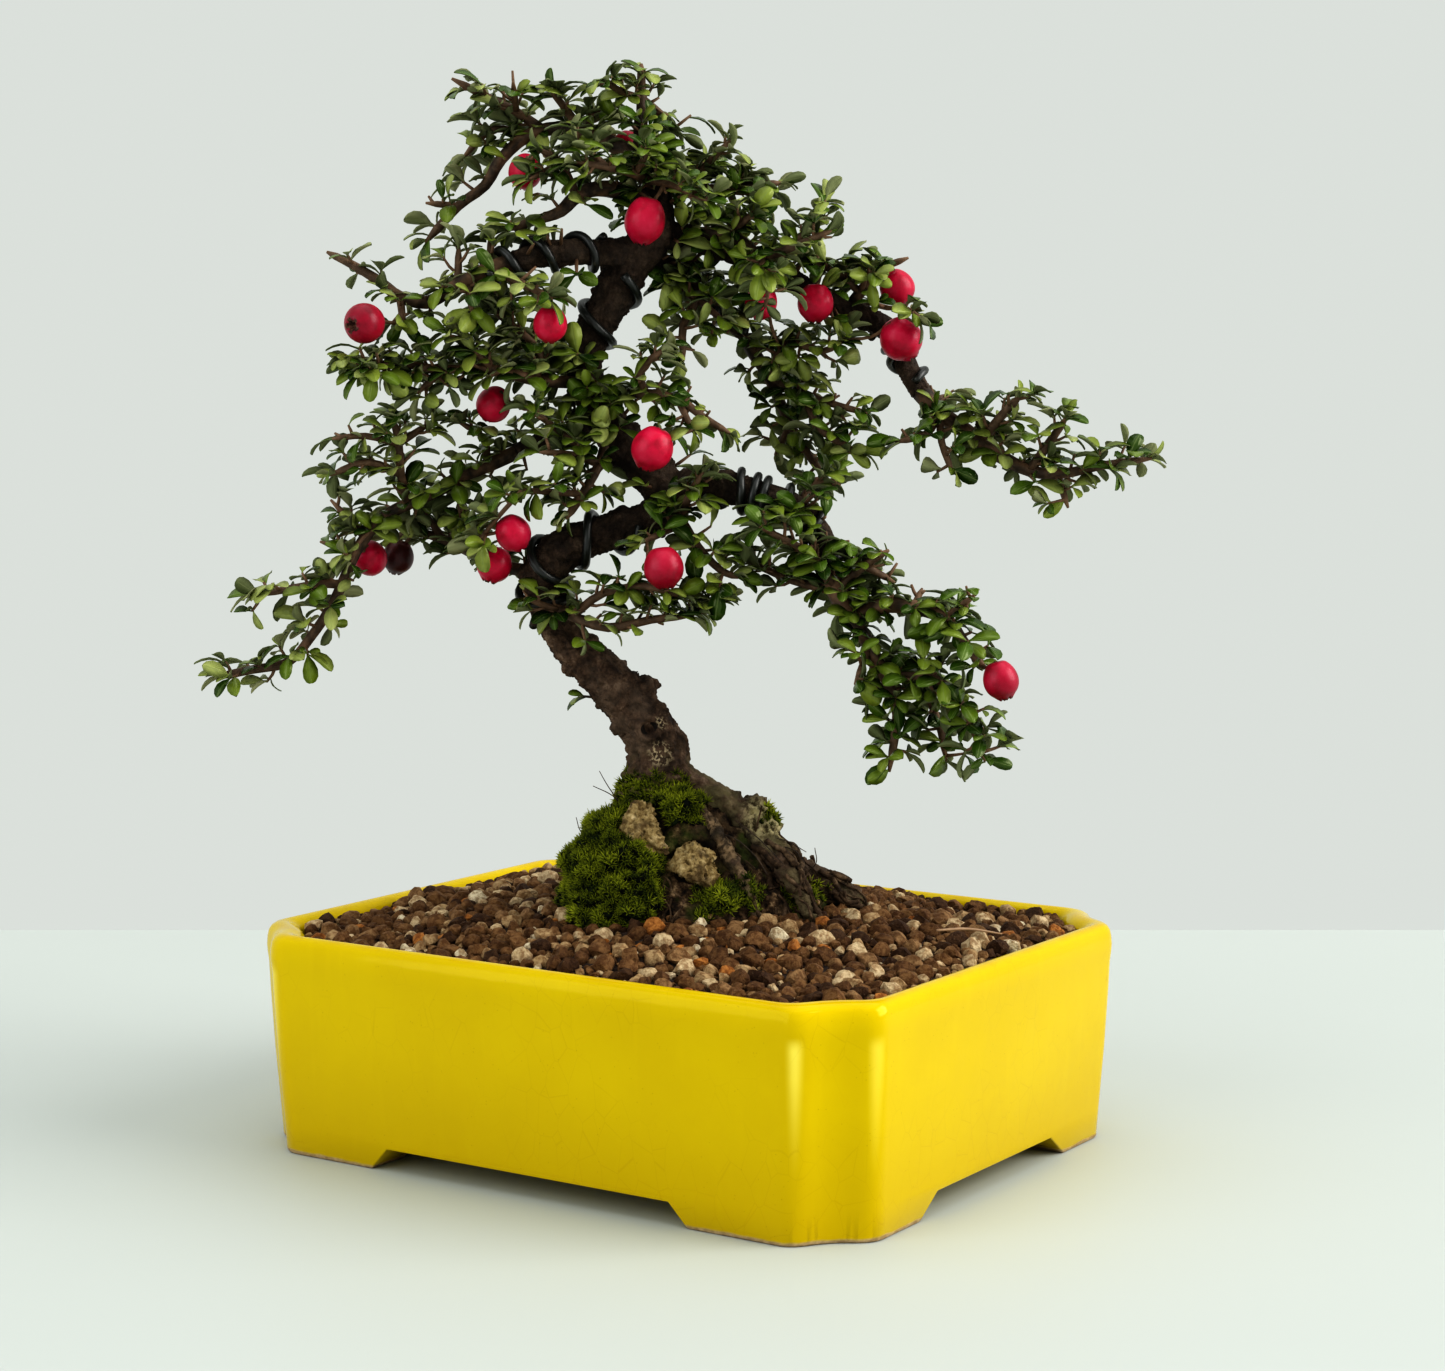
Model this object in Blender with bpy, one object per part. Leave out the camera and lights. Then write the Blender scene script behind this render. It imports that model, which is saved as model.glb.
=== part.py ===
"""Cotoneaster bonsai in its rectangular glazed pot.

The pot stands on four corner feet and holds loose granular soil.  A mossy root
mound rises from the soil, and the wired tree grows out of it in an S-bend.
Metres, +Z up; the origin is the middle of the pot on the ground, with the
pot's long side along X.  The tree is laid out in a frame of its own, turned
about Z in the pot: x to its right, y to its back, and z up.
"""
import math
import random

import bmesh
import bpy
from mathutils import Matrix, Vector, noise
from mathutils.bvhtree import BVHTree

MM = 0.001

# Driving dimensions of the pot, in metres
POT_LENGTH = 0.140
POT_DEPTH = 0.112
POT_HEIGHT = 0.0427
BASE_TAPER = 0.0019
FOOT_HEIGHT = 0.0043
FLOOR_TOP = 0.0083
CORNER_CUT = 0.0107
CORNER_VALLEY = 0.61
EDGE_ROUND = 0.0030
VALLEY_ROUND = 0.0035
WALL_TOP = 0.0046
WALL_FLOOR = 0.0056
ARCH_X_TOP = 0.032
ARCH_X_GROUND = 0.036
ARCH_Y_TOP = 0.022
ARCH_Y_GROUND = 0.028
FOOT_WIDTH = 0.010
DRAIN_RADIUS = 0.0045
DRAIN_X = 0.028
# Section of the pot's wall as (distance in from the rim's outer face, height)
POT_LEVELS = [(BASE_TAPER, 0.0), (0.0003, 0.0335), (0.0, 0.0385), (0.0003, POT_HEIGHT - 0.0012),
              (0.0012, POT_HEIGHT - 0.0002), (0.0023, POT_HEIGHT), (0.0035, POT_HEIGHT - 0.0006),
              (WALL_TOP, POT_HEIGHT - 0.0030), (WALL_FLOOR, FLOOR_TOP + 0.0015),
              (WALL_FLOOR + 0.0012, FLOOR_TOP)]
SCREEN_SIDE = 0.015
SCREEN_THICK = 0.0008
SCREEN_HOLE = 0.0030
SCREEN_PITCH = 0.0050

# Clearance between pieces that touch on the real plant
GAP = 0.00035

# Faces that meet at less than this angle are one flat face
FLAT_ANGLE = math.radians(0.6)

# Soil, mound and tree
SOIL_EDGE = POT_HEIGHT - 0.0022
SOIL_RISE = 0.0068
SOIL_CELLS = (18, 14)
SOIL_RELIEF = 0.0008
TREE_TURN = math.radians(33.4)
MOUND_CENTRE = (-0.0025, 0.0)
MOUND_DEPTH_SCALE = 0.80
# Share by which the mound's radius is smaller on its mossy left, and larger at the foot on its right
MOUND_LEFT_LESS = 0.24
MOUND_RIGHT_MORE = 0.12
MOUND_RIGHT_FOOT = 52.0
LEAF_LENGTH = 0.0062
LEAF_WIDTH = 0.0031
LEAF_THICK = 0.0008
LEAF_ARCH = 0.09
LEAF_SPACING = 0.0068
LEAF_SIZES = (0.85, 1.08)
# Leaf blade: its outline as (share of the length, share of the width) and its faces, with the crown last
LEAF_OUTLINE = ((0.62, 0.5), (0.98, 0.21), (0.98, -0.21), (0.62, -0.5))
LEAF_CROWN = 0.56
LEAF_FACES = [(0, 1, 5), (1, 2, 5), (2, 3, 5), (3, 4, 5), (4, 0, 5), (0, 4, 1), (1, 4, 3), (1, 3, 2)]
# Part of the blade next to the twig, which may touch the twig and its neighbours
LEAF_FOOT = 0.32
# Lean of the leaves away from their twig, along it and at its end, in degrees
LEAN_ALONG = (50, 72)
LEAN_END = (28, 45)
END_LEAVES = 3
GOLDEN_ANGLE = math.radians(137.5)
BERRY_LENGTH_SCALE = 1.06
BERRY_DIMPLE = -0.86
STALK_RADIUS = 0.5

# Wood that grew as one piece: centre line (x, y, z) and radius in millimetres
TRUNK = [(-7, 0, 62, 8.2), (-6.5, 0, 67.5, 7.3), (-6, 0, 73, 6.1), (-6.2, -0.5, 77.5, 5.5),
         (-9.6, -1, 83, 4.9), (-13.2, -1.5, 87.5, 4.6), (-18.4, -2, 93, 4.2), (-22.8, -2.5, 97.5, 3.8),
         (-25.3, -3, 102, 3.8), (-27.2, -4, 106, 3.9), (-27.8, -5, 110, 4.0), (-26, -6, 114, 4.0),
         (-21.5, -6, 117, 3.7), (-15.5, -5, 119, 3.4), (-9, -3.5, 120.5, 3.6), (-4.5, -1.5, 124, 3.9),
         (-6, -0.5, 129, 4.2), (-10.5, 0, 133.5, 4.1), (-14.5, 0, 138, 3.9), (-17.5, 0, 143, 3.6),
         (-20, 0, 150, 3.4), (-18.5, 0, 156.5, 3.4), (-15.5, 0, 162, 3.6), (-11.5, 0, 169.5, 4.0),
         (-8, 0, 174, 3.9), (-6, 1, 178.5, 3.3), (-6.5, 1.5, 184, 2.7), (-8, 2, 189, 2.1),
         (-9, 2.5, 194, 1.6), (-9, 3, 199, 1.2)]
BRANCHES = {
    "left_upper": [(-9, -1, 172.5, 2.5), (-15, -4, 172, 2.4), (-20.5, -7, 172, 2.4), (-27, -10, 171.5, 2.3),
                   (-32.5, -12, 170, 2.1)],
    "right_lower": [(-6, 0, 126.5, 2.9), (0.5, -3, 128, 2.9), (5.5, -6, 128, 3.0), (10, -8, 127, 2.9),
                    (15, -9, 125.5, 2.8), (19.5, -10, 124, 2.7), (23, -11, 121, 2.6), (25.5, -12, 117, 2.5),
                    (26.5, -13, 112.5, 2.4)],
    "right_upper": [(-7, 1, 175.5, 2.6), (0.5, 4, 175, 2.5), (9, 7, 172.5, 2.4), (17.5, 10, 168.5, 2.3),
                    (25.5, 13, 164, 2.3), (32.5, 15, 161, 2.4), (38, 16, 158.5, 2.3), (41.5, 16, 154.5, 2.2),
                    (43, 15, 150, 2.1), (45.5, 13, 145.5, 2.0)],
    "right_hang": [(-9.5, 1, 170.5, 2.1), (-4, 6, 170, 1.9), (0.5, 9, 168, 1.8), (3.5, 12, 163.5, 1.7),
                   (7.5, 14, 160, 1.7), (10.5, 16, 157, 1.6)],
    "far_left": [(-16, 1, 138.5, 1.9), (-23, 5, 137.5, 1.8), (-28, 5, 136.5, 1.7), (-33.5, 4, 134, 1.6)],
}
ROOTS = {
    "root_right": [(-5, -2, 73, 4.1), (-1, -3, 70.6, 3.4), (4, -4, 67.9, 3.1), (8.5, -5, 65, 3.1),
                   (12.5, -6, 61, 3.4), (16, -7, 57, 3.2), (20, -7, 54, 2.9), (25, -6, 51.5, 2.5),
                   (30, -5, 49, 2.1), (34, -4, 44.5, 1.6)],
    "root_front": [(-4, -6, 69, 2.2), (1.5, -9.5, 66.5, 1.4), (5.5, -12.5, 61.5, 1.3), (8.8, -15.2, 56, 1.2),
                   (11.5, -17, 51, 1.1), (13.5, -19.5, 44.5, 1.0)],
    "root_side": [(12, -6, 61, 2.4), (17, -11, 56.5, 1.7), (21, -15, 51, 1.3), (24, -18, 45, 1.1)],
    "root_back": [(-3, 3, 70, 4.0), (1, 9, 65, 3.0), (5, 14, 59, 2.5), (8, 18.5, 52, 2.0), (10, 22, 44.5, 1.5)],
}
# Burrs and stubs on the wood: centre and radius in millimetres
KNOBS = [(-8.6, -1.5, 88.4, 2.3), (-22.8, -2.5, 92.6, 1.7), (12.8, -4.5, 65.6, 2.6), (-2.6, -1.5, 78.5, 2.2),
         (-13.6, -3.0, 81.4, 1.7), (-26.0, -8.2, 117.0, 1.9), (14.2, -5.0, 61.8, 3.2)]

# End of the wired upper left branch, which belongs to its leafy spray
LEFT_UPPER_END = [(-37, -13, 168.5, 1.9), (-41, -13, 166.5, 1.7), (-45, -12, 164.5, 1.5), (-49, -11, 162.5, 1.4)]

# Leafy sprays: each twig is a centre line in millimetres with its first and last radius.
# The first twig grows from the wood and the others start on it.
SPRAYS = {
    "spray_crown_left": [
        ([(-8, 1.5, 187), (-13, 3, 192), (-19, 4.5, 194.5), (-25, 5, 196), (-31, 5, 194.5), (-36, 4, 190),
          (-39, 3, 185), (-44, 1, 181), (-50, -2, 174)], 1.9, 0.9),
        ([(-44, 1, 181), (-50, -1, 181.5)], 0.8, 0.6),
        ([(-28, 5, 195.7), (-33, 4, 199), (-38, 3, 201.5), (-45, 1, 205)], 1.1, 0.7),
        ([(-33, 4, 199), (-33, -4, 204)], 0.7, 0.6),
        ([(-31, 5, 194.5), (-38, 8, 196), (-44, 8, 190)], 0.9, 0.6),
        ([(-20, 4.6, 194.8), (-23.5, 1, 199.5), (-26, -2, 202.5)], 0.9, 0.6),
        ([(-20, 4.6, 194.8), (-18, 8, 200)], 0.8, 0.6)],
    "spray_crown_top": [
        ([(-9, 3, 198.5), (-9, 3, 203.5), (-9, 3, 208)], 1.1, 0.8),
        ([(-9, 3, 201.5), (-13, -1, 202.5), (-16, -4, 204.5)], 0.7, 0.6),
        ([(-9, 3, 201.5), (-5.5, 7, 199), (-1.5, 9, 195)], 0.8, 0.6)],
    "spray_crown_front": [
        ([(-7, -1, 185), (-10, -8, 186.5), (-15, -13, 187.5), (-21, -16, 188)], 1.1, 0.6),
        ([(-10, -8, 186.5), (-7, -12, 191)], 0.7, 0.6),
        ([(-15, -13, 187.5), (-21, -11, 192.5)], 0.7, 0.6),
        ([(-8.5, -4.5, 185.7), (-3, -9, 184.5), (1, -14, 182.5), (4, -18, 181)], 0.9, 0.6)],
    "spray_crown_low": [
        ([(-7, 1, 182), (-12, -2, 183.5), (-17, -4.5, 184), (-21, -6, 182.5), (-24, -8, 179.5),
          (-28, -9, 178), (-34, -10, 176)], 2.1, 0.8),
        ([(-21, -6, 182.5), (-24, -8, 188.5), (-28, -9, 191)], 0.9, 0.6),
        ([(-24, -8, 188.5), (-30, -11, 185)], 0.7, 0.6)],
    "spray_crown_right": [
        ([(-6, 3, 184), (0, 6, 184.5), (6, 8, 184.5), (13, 10, 185.5), (18, 11, 186)], 1.6, 0.7),
        ([(0, 6, 184.5), (3, 5, 188.5), (8.5, 3, 194)], 0.9, 0.6),
        ([(6, 8, 184.5), (12, 14, 187.5)], 0.8, 0.6),
        ([(6, 8, 184.5), (12, 3, 183.5)], 0.8, 0.6),
        ([(0, 6, 184.5), (-4, 12, 188), (-12, 17, 191)], 0.9, 0.6),
        ([(-4, 12, 188), (1, 18, 190)], 0.8, 0.6)],
    "spray_right_shoulder": [
        ([(0, 2, 176), (8, -2, 175.5), (14, -5, 171.5), (20, -7, 173), (27, -9, 176)], 1.3, 0.7),
        ([(20, -7, 173), (23, -4, 177), (26, -2, 182)], 0.8, 0.6),
        ([(8, -2, 175.5), (13, -7, 180)], 0.8, 0.6),
        ([(14, -5, 171.5), (14, -11, 168.5)], 0.7, 0.6)],
    "spray_right_upper_bud": [
        ([(32, 14, 163), (35, 12, 167), (37.5, 10, 169.5), (42.5, 8, 171.5)], 1.2, 0.6),
        ([(35, 12, 167), (31, 17, 170)], 0.7, 0.6),
        ([(33.5, 13, 165), (28, 10, 169), (23, 8, 171)], 0.8, 0.6)],
    "spray_right_upper_end": [
        ([(45.5, 13, 145.5), (49, 10, 141.5), (54, 8, 138), (60, 5, 133.5), (66, 3, 130.5), (72, 1, 130),
          (79, 0, 131.5), (89, -1, 133)], 1.9, 0.7),
        ([(57, 6.5, 136), (60, 4, 140.5), (64, 2, 145)], 1.0, 0.8),
        ([(66, 3, 130.5), (69, 0, 135.5), (72.5, -2, 141)], 1.0, 0.7),
        ([(71, 1.3, 130.1), (73, -1, 123.5)], 0.8, 0.6),
        ([(57, 6.5, 136), (63, 14, 137)], 0.8, 0.6),
        ([(49, 10, 141.5), (46, 6, 137.5), (40, 4, 136)], 0.9, 0.6),
        ([(49, 10, 141.5), (49, 5, 136), (51, 2, 130)], 0.8, 0.6),
        ([(47, 12, 143.5), (52, 21, 145)], 0.9, 0.6)],
    "spray_right_hang": [
        ([(11, 16, 156.5), (12.5, 17, 153.5), (15.5, 18, 149), (17.5, 19, 144.5), (20, 19, 139), (23, 19, 134),
          (26.5, 18, 129)], 1.5, 0.7),
        ([(20, 19, 139), (17, 23, 133)], 0.8, 0.6),
        ([(15.5, 18, 149), (22, 14, 145.5), (29, 10, 143), (35, 8, 141.5)], 1.0, 0.6),
        ([(22, 14, 145.5), (26, 11, 138), (33, 9, 134)], 0.8, 0.6),
        ([(12.5, 17, 153.5), (19, 13, 155.5), (26, 9, 153.5), (30, 7, 156)], 0.9, 0.6),
        ([(19, 13, 155.5), (16, 8, 151)], 0.7, 0.6)],
    "spray_right_drop": [
        ([(0, 7, 168), (1.5, 3, 163.5), (-1, -1, 158.5), (-1, -3, 151.5)], 1.0, 0.7),
        ([(1.5, 3, 163.5), (-4, 1, 166)], 0.7, 0.6),
        ([(1.5, 3, 163.5), (7, -1, 159)], 0.7, 0.6)],
    "spray_centre_right": [
        ([(-15, -2, 145), (-8, -8, 145.5), (-2, -11, 144.5), (3, -13, 141), (8, -14, 138)], 1.1, 0.6),
        ([(-8, -8, 145.5), (-9, -11, 150), (-4, -13, 154)], 0.8, 0.6),
        ([(-2, -11, 144.5), (1, -15, 138.5)], 0.7, 0.6)],
    "spray_right_lower": [
        ([(26.5, -13, 112.5), (28.5, -15, 107.5), (31, -17, 103.5), (36, -19, 106), (42, -22, 106),
          (48, -24, 104), (51, -26, 100), (55, -27, 95)], 2.2, 0.8),
        ([(48, -24, 104), (53, -29, 109)], 0.8, 0.6),
        ([(42, -22, 106), (44, -16, 109)], 0.8, 0.6),
        ([(30, -16.2, 105.1), (34, -20, 98.5), (37, -22, 92.5), (39, -23, 86), (37.5, -25, 75.5)], 1.5, 0.7),
        ([(37, -22, 92.5), (43, -18, 91.5), (47, -16, 84.5), (49, -14, 76)], 0.9, 0.6),
        ([(36.7, -21.8, 93.2), (46, -26, 93), (51, -27, 88), (55, -29, 78)], 0.9, 0.6),
        ([(34, -20, 98.5), (31, -26, 92)], 0.8, 0.6),
        ([(28, -14.5, 108.5), (33, -18, 113.5), (37.5, -20, 116.5)], 1.0, 0.7),
        ([(33, -18, 113.5), (39, -13, 110)], 0.8, 0.6),
        ([(28, -14.5, 108.5), (20, -9, 110), (11, -3, 113.5)], 1.0, 0.6),
        ([(28.5, -15, 107.5), (33, -5, 107.5), (35, 3, 105)], 1.0, 0.6),
        ([(28, -14.5, 108.5), (23, -18, 115.5), (13, -20, 121)], 0.9, 0.6)],
    "spray_right_lower_top": [
        ([(21, -9, 124.5), (24.5, -7, 129), (29, -6, 128)], 0.9, 0.6)],
    "spray_left_upper": [
        ([(-32.5, -12, 170), (-37, -13, 168.5), (-41, -13, 166.5), (-45, -12, 164.5), (-49, -11, 162.5),
          (-54, -11, 163.5), (-58, -10, 166.5), (-63, -9, 169.5), (-68, -8, 172)], 2.0, 0.7),
        ([(-54, -11, 163.5), (-53, -15, 158)], 0.8, 0.6),
        ([(-43, -12.5, 165.5), (-43, -10, 173.5)], 0.8, 0.6),
        ([(-37, -13, 168.5), (-37, -8, 176)], 0.8, 0.6),
        ([(-37, -13, 168.5), (-31, -18, 166), (-25, -20, 163)], 0.9, 0.6),
        ([(-39, -13, 167.5), (-37, -4, 166), (-38, 5, 164)], 0.9, 0.6),
        ([(-41, -13, 166.5), (-40, -17, 160)], 0.8, 0.6)],
    "spray_left_mid": [
        ([(-21, -3, 147.5), (-29, -8, 148), (-37, -11, 150), (-46, -13, 150), (-54, -15, 151), (-64, -17, 151)],
         1.4, 0.6),
        ([(-37, -11, 150), (-43, -16, 157)], 0.8, 0.6),
        ([(-46, -13, 150), (-51, -10, 145.5)], 0.8, 0.6),
        ([(-54, -15, 151), (-60, -21, 150)], 0.7, 0.6),
        ([(-29, -8, 148), (-28, -9, 153), (-32, -11, 157.5), (-37, -9, 161)], 0.9, 0.6),
        ([(-29, -8, 148), (-28, 2, 151), (-31, 11, 153), (-38, 15, 152)], 1.0, 0.6),
        ([(-31, 11, 153), (-28, 17, 157)], 0.8, 0.6)],
    "spray_far_left": [
        ([(-33.5, 4, 134), (-39, 3, 131.5), (-44, 2, 129.5), (-48, 1, 127), (-53.5, 0, 124.5),
          (-57.5, -1, 122.5), (-60.5, -2, 120), (-64, -3, 115), (-66.5, -4, 109), (-69, -5, 104),
          (-72.5, -4.5, 99), (-77, -4, 94), (-84, -3.5, 92.5), (-91, -3, 91)], 1.6, 0.8),
        ([(-66.5, -4, 109), (-72, -5.5, 109), (-83, -7, 107)], 1.0, 0.7),
        ([(-62, -2.4, 118), (-69, 0, 125)], 0.8, 0.6),
        ([(-64, -3, 115), (-71, -1, 117)], 0.8, 0.6),
        ([(-54, -0.2, 124.3), (-55, -4, 130), (-55, -7, 136), (-56, -8, 141)], 1.0, 0.7),
        ([(-55, -7, 136), (-61, -10, 137.5), (-67, -12, 137)], 0.8, 0.6),
        ([(-55, -7, 136), (-49, -4, 140)], 0.8, 0.6),
        ([(-55, -4, 130), (-61, -7, 132.5), (-68, -9, 130)], 0.8, 0.7),
        ([(-39, 3, 131.5), (-39.5, 0, 137), (-44, -3, 140)], 0.8, 0.6),
        ([(-44, 2, 129.5), (-44, -1, 121.5)], 0.8, 0.6)],
    "spray_lower_left": [
        ([(-30, -5, 111.5), (-37, -1, 112.5), (-43, 4, 115), (-48, 7, 117), (-53, 10, 118), (-59, 12, 117)],
         1.4, 0.7),
        ([(-43, 4, 115), (-41, 1, 120)], 0.8, 0.6),
        ([(-48, 7, 117), (-52, 8, 122.5)], 0.8, 0.6)],
    "spray_centre_left": [
        ([(-15.5, -2, 137), (-17, -6, 132), (-20, -10, 126.5), (-23, -13, 122)], 1.2, 0.8),
        ([(-20, -10, 126.5), (-25, -13, 127), (-31, -16, 127.5)], 0.8, 0.6),
        ([(-17, -6, 132), (-22, -10, 134), (-28, -13, 134.5)], 0.8, 0.6),
        ([(-17, -6, 132), (-24, -8, 138), (-31, -9, 143.5)], 0.8, 0.6)],
    "spray_lower_centre": [
        ([(-27, -7, 105.5), (-22, -12, 103.5), (-15, -14, 101.5), (-7, -14, 103), (0, -14, 104), (7, -14, 107)],
         1.1, 0.6),
        ([(-24, -10, 104.3), (-31, -13, 107)], 0.7, 0.6),
        ([(-22, -12, 103.5), (-16, -14, 108), (-8, -16, 109.5), (-1, -17, 107.5)], 0.9, 0.7)],
    "spray_centre": [
        ([(-3, -5, 122.5), (-1, -9, 121), (2, -12, 116.5), (6, -14, 112.5), (9.5, -15, 111)], 1.1, 0.6),
        ([(-1, -9, 121), (-9, -16, 117.5)], 0.8, 0.6),
        ([(-1, -9, 121), (0, -13, 126), (3, -15, 131)], 0.9, 0.6)],
}

# Wire coils: centre line, start and end along it (0 to 1), turns, wire radius and start angle in turns
WIRES = {
    "wire_bend": (TRUNK, 0.29, 0.46, 2.1, 0.85, 0.75),
    "wire_trunk": (TRUNK, 0.695, 0.785, 1.6, 0.85, 0.10),
    "wire_left_upper": (BRANCHES["left_upper"] + LEFT_UPPER_END, 0.16, 0.52, 3.2, 0.80, 0.25),
    "wire_right_lower": (BRANCHES["right_lower"], 0.30, 0.98, 4.6, 0.80, 0.00),
    "wire_right_upper": (BRANCHES["right_upper"], 0.62, 0.97, 2.4, 0.80, 0.50),
    "wire_right_hang": (BRANCHES["right_hang"], 0.42, 0.98, 2.0, 0.65, 0.00),
}

# Berries: centre and half width in millimetres, with the spray that each one hangs from
BERRIES = {
    "berry_crown": ((-8, -10, 178), 4.3, "spray_crown_front"),
    "berry_crown_left": ((-31, -1, 187.5), 3.3, "spray_crown_low"),
    "berry_crown_mid": ((-12, 10, 193), 3.0, "spray_crown_right"),
    "berry_left": ((-59.5, -20, 158.5), 3.8, "spray_left_upper"),
    "berry_right_a": ((24.5, 6, 163), 3.6, "spray_right_upper_bud"),
    "berry_right_b": ((40.5, 12, 166), 3.5, "spray_right_upper_bud"),
    "berry_right_c": ((41, 7, 156), 4.1, "spray_right_hang"),
    "berry_hang": ((14, 5, 163), 3.2, "spray_right_hang"),
    "berry_middle": ((-6.5, -17, 135.5), 4.0, "spray_centre_right"),
    "berry_wired": ((-25.5, -17, 158.5), 3.3, "spray_left_upper"),
    "berry_left_mid": ((-37, -5, 143.5), 3.4, "spray_centre_left"),
    "berry_bend_a": ((-33, -14, 119.5), 3.4, "spray_centre_left"),
    "berry_bend_b": ((-37.5, -7.5, 112), 3.4, "spray_lower_left"),
    "berry_dark": ((-57, 10, 111.5), 3.2, "spray_lower_left"),
    "berry_far_left": ((-60.5, 3, 113.5), 3.4, "spray_far_left"),
    "berry_low": ((-4.5, -20.5, 113.5), 3.8, "spray_lower_centre"),
    "berry_right_low": ((57.5, -31, 93.5), 3.5, "spray_right_lower"),
}


def new_collection(name, shown=True):
    """Make a collection in the scene."""
    collection = bpy.data.collections.new(name)
    bpy.context.scene.collection.children.link(collection)
    collection.hide_render = not shown
    return collection


def make_material(name, colour, roughness, metallic=0.0):
    """Principled material with a plain colour."""
    material = bpy.data.materials.new(name)
    material.use_nodes = True
    shader = material.node_tree.nodes["Principled BSDF"]
    shader.inputs["Base Color"].default_value = (*colour, 1.0)
    shader.inputs["Roughness"].default_value = roughness
    shader.inputs["Metallic"].default_value = metallic
    return material


def make_object(name, mesh, collection, parent=None):
    """Object for a mesh, in a collection and under a parent."""
    item = bpy.data.objects.new(name, mesh)
    item.parent = parent
    collection.objects.link(item)
    return item


def mesh_from_bmesh(name, shape):
    """Mesh from a bmesh, with its faces pointing out."""
    bmesh.ops.recalc_face_normals(shape, faces=shape.faces)
    if shape.calc_volume(signed=True) < 0:
        bmesh.ops.reverse_faces(shape, faces=shape.faces)
    mesh = bpy.data.meshes.new(name)
    shape.to_mesh(mesh)
    shape.free()
    return mesh


def as_cutter(item):
    """Show a cutter as a wire and leave it out of the model."""
    item.display_type = "WIRE"
    item.hide_render = True
    return item


def boolean(item, operation, other, solver="EXACT"):
    """Add a Boolean with one object or with a whole collection."""
    modifier = item.modifiers.new(operation.title(), "BOOLEAN")
    modifier.operation = operation
    modifier.solver = solver
    if isinstance(other, bpy.types.Collection):
        modifier.operand_type = "COLLECTION"
        modifier.collection = other
    else:
        modifier.object = other


def applied_mesh(item):
    """The object's mesh with its modifiers applied."""
    bpy.context.view_layer.update()
    depsgraph = bpy.context.evaluated_depsgraph_get()
    return bpy.data.meshes.new_from_object(item.evaluated_get(depsgraph))


def fuse(name, pieces, collection, parent, solver="EXACT"):
    """Join overlapping pieces in one body and remove the pieces."""
    body, rest = pieces[0], pieces[1:]
    joined = new_collection(name + "_pieces")
    for piece in rest:
        collection.objects.unlink(piece)
        joined.objects.link(piece)
    boolean(body, "UNION", joined, solver)
    mesh = applied_mesh(body)
    for piece in pieces:
        bpy.data.objects.remove(piece, do_unlink=True)
    bpy.data.collections.remove(joined)
    shape = bmesh.new()
    shape.from_mesh(mesh)
    bpy.data.meshes.remove(mesh)
    bmesh.ops.dissolve_limit(shape, angle_limit=FLAT_ANGLE, verts=shape.verts, edges=shape.edges)
    bmesh.ops.triangulate(shape, faces=shape.faces)
    return make_object(name, mesh_from_bmesh(name, shape), collection, parent)


def smooth_path(points, steps):
    """Points on a Catmull-Rom curve through a list of (x, y, z, radius)."""
    rows = [Vector(p) for p in points]
    rows = [2 * rows[0] - rows[1]] + rows + [2 * rows[-1] - rows[-2]]
    path = []
    for a, b, c, d in zip(rows, rows[1:], rows[2:], rows[3:]):
        for step in range(steps):
            t = step / steps
            path.append(0.5 * (2 * b + (c - a) * t + (2 * a - 5 * b + 4 * c - d) * t ** 2
                               + (3 * b - a - 3 * c + d) * t ** 3))
    path.append(rows[-2])
    return path


def tube(name, path, sides_step, collection, parent=None, grow=0.0):
    """Closed tube along (x, y, z, radius) points in millimetres, made as a bevelled curve."""
    path = [Vector(row) for row in path]
    for end, inner in ((0, 1), (-1, -2)):
        away = (path[end].xyz - path[inner].xyz).normalized() * (grow / MM)
        path[end] = path[end] + Vector((*away, 0.0))
    curve = bpy.data.curves.new(name, "CURVE")
    curve.dimensions = "3D"
    curve.bevel_depth = MM
    curve.bevel_resolution = sides_step
    curve.use_fill_caps = True
    spline = curve.splines.new("POLY")
    spline.points.add(len(path) - 1)
    for point, row in zip(spline.points, path):
        point.co = (row[0] * MM, row[1] * MM, row[2] * MM, 1.0)
        point.radius = row[3] + grow / MM
    holder = make_object(name, curve, bpy.context.scene.collection)
    mesh = applied_mesh(holder)
    bpy.data.objects.remove(holder, do_unlink=True)
    bpy.data.curves.remove(curve)
    shape = bmesh.new()
    shape.from_mesh(mesh)
    bpy.data.meshes.remove(mesh)
    bmesh.ops.remove_doubles(shape, verts=shape.verts, dist=0.01 * MM)
    return make_object(name, mesh_from_bmesh(name, shape), collection, parent)


def ball(name, centre, size, collection, parent=None, detail=2, lumps=0.0, grow=0.0):
    """Lumpy ball from an ico sphere: centre and half sizes in millimetres."""
    shape = bmesh.new()
    bmesh.ops.create_icosphere(shape, subdivisions=detail, radius=1.0)
    for vert in shape.verts:
        lump = 1.0 + lumps * noise.noise(vert.co * 1.7 + Vector(centre))
        vert.co = Vector([(c + (s * lump + grow / MM) * v) * MM for c, s, v in zip(centre, size, vert.co)])
    return make_object(name, mesh_from_bmesh(name, shape), collection, parent)


def loft(name, rings, collection, parent=None):
    """Closed body through rings of points that match one to one."""
    shape = bmesh.new()
    rows = [[shape.verts.new(point) for point in ring] for ring in rings]
    for low, high in zip(rows, rows[1:]):
        for i in range(len(low)):
            j = (i + 1) % len(low)
            shape.faces.new((low[i], low[j], high[j], high[i]))
    shape.faces.new(reversed(rows[0]))
    shape.faces.new(rows[-1])
    return make_object(name, mesh_from_bmesh(name, shape), collection, parent)


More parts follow.
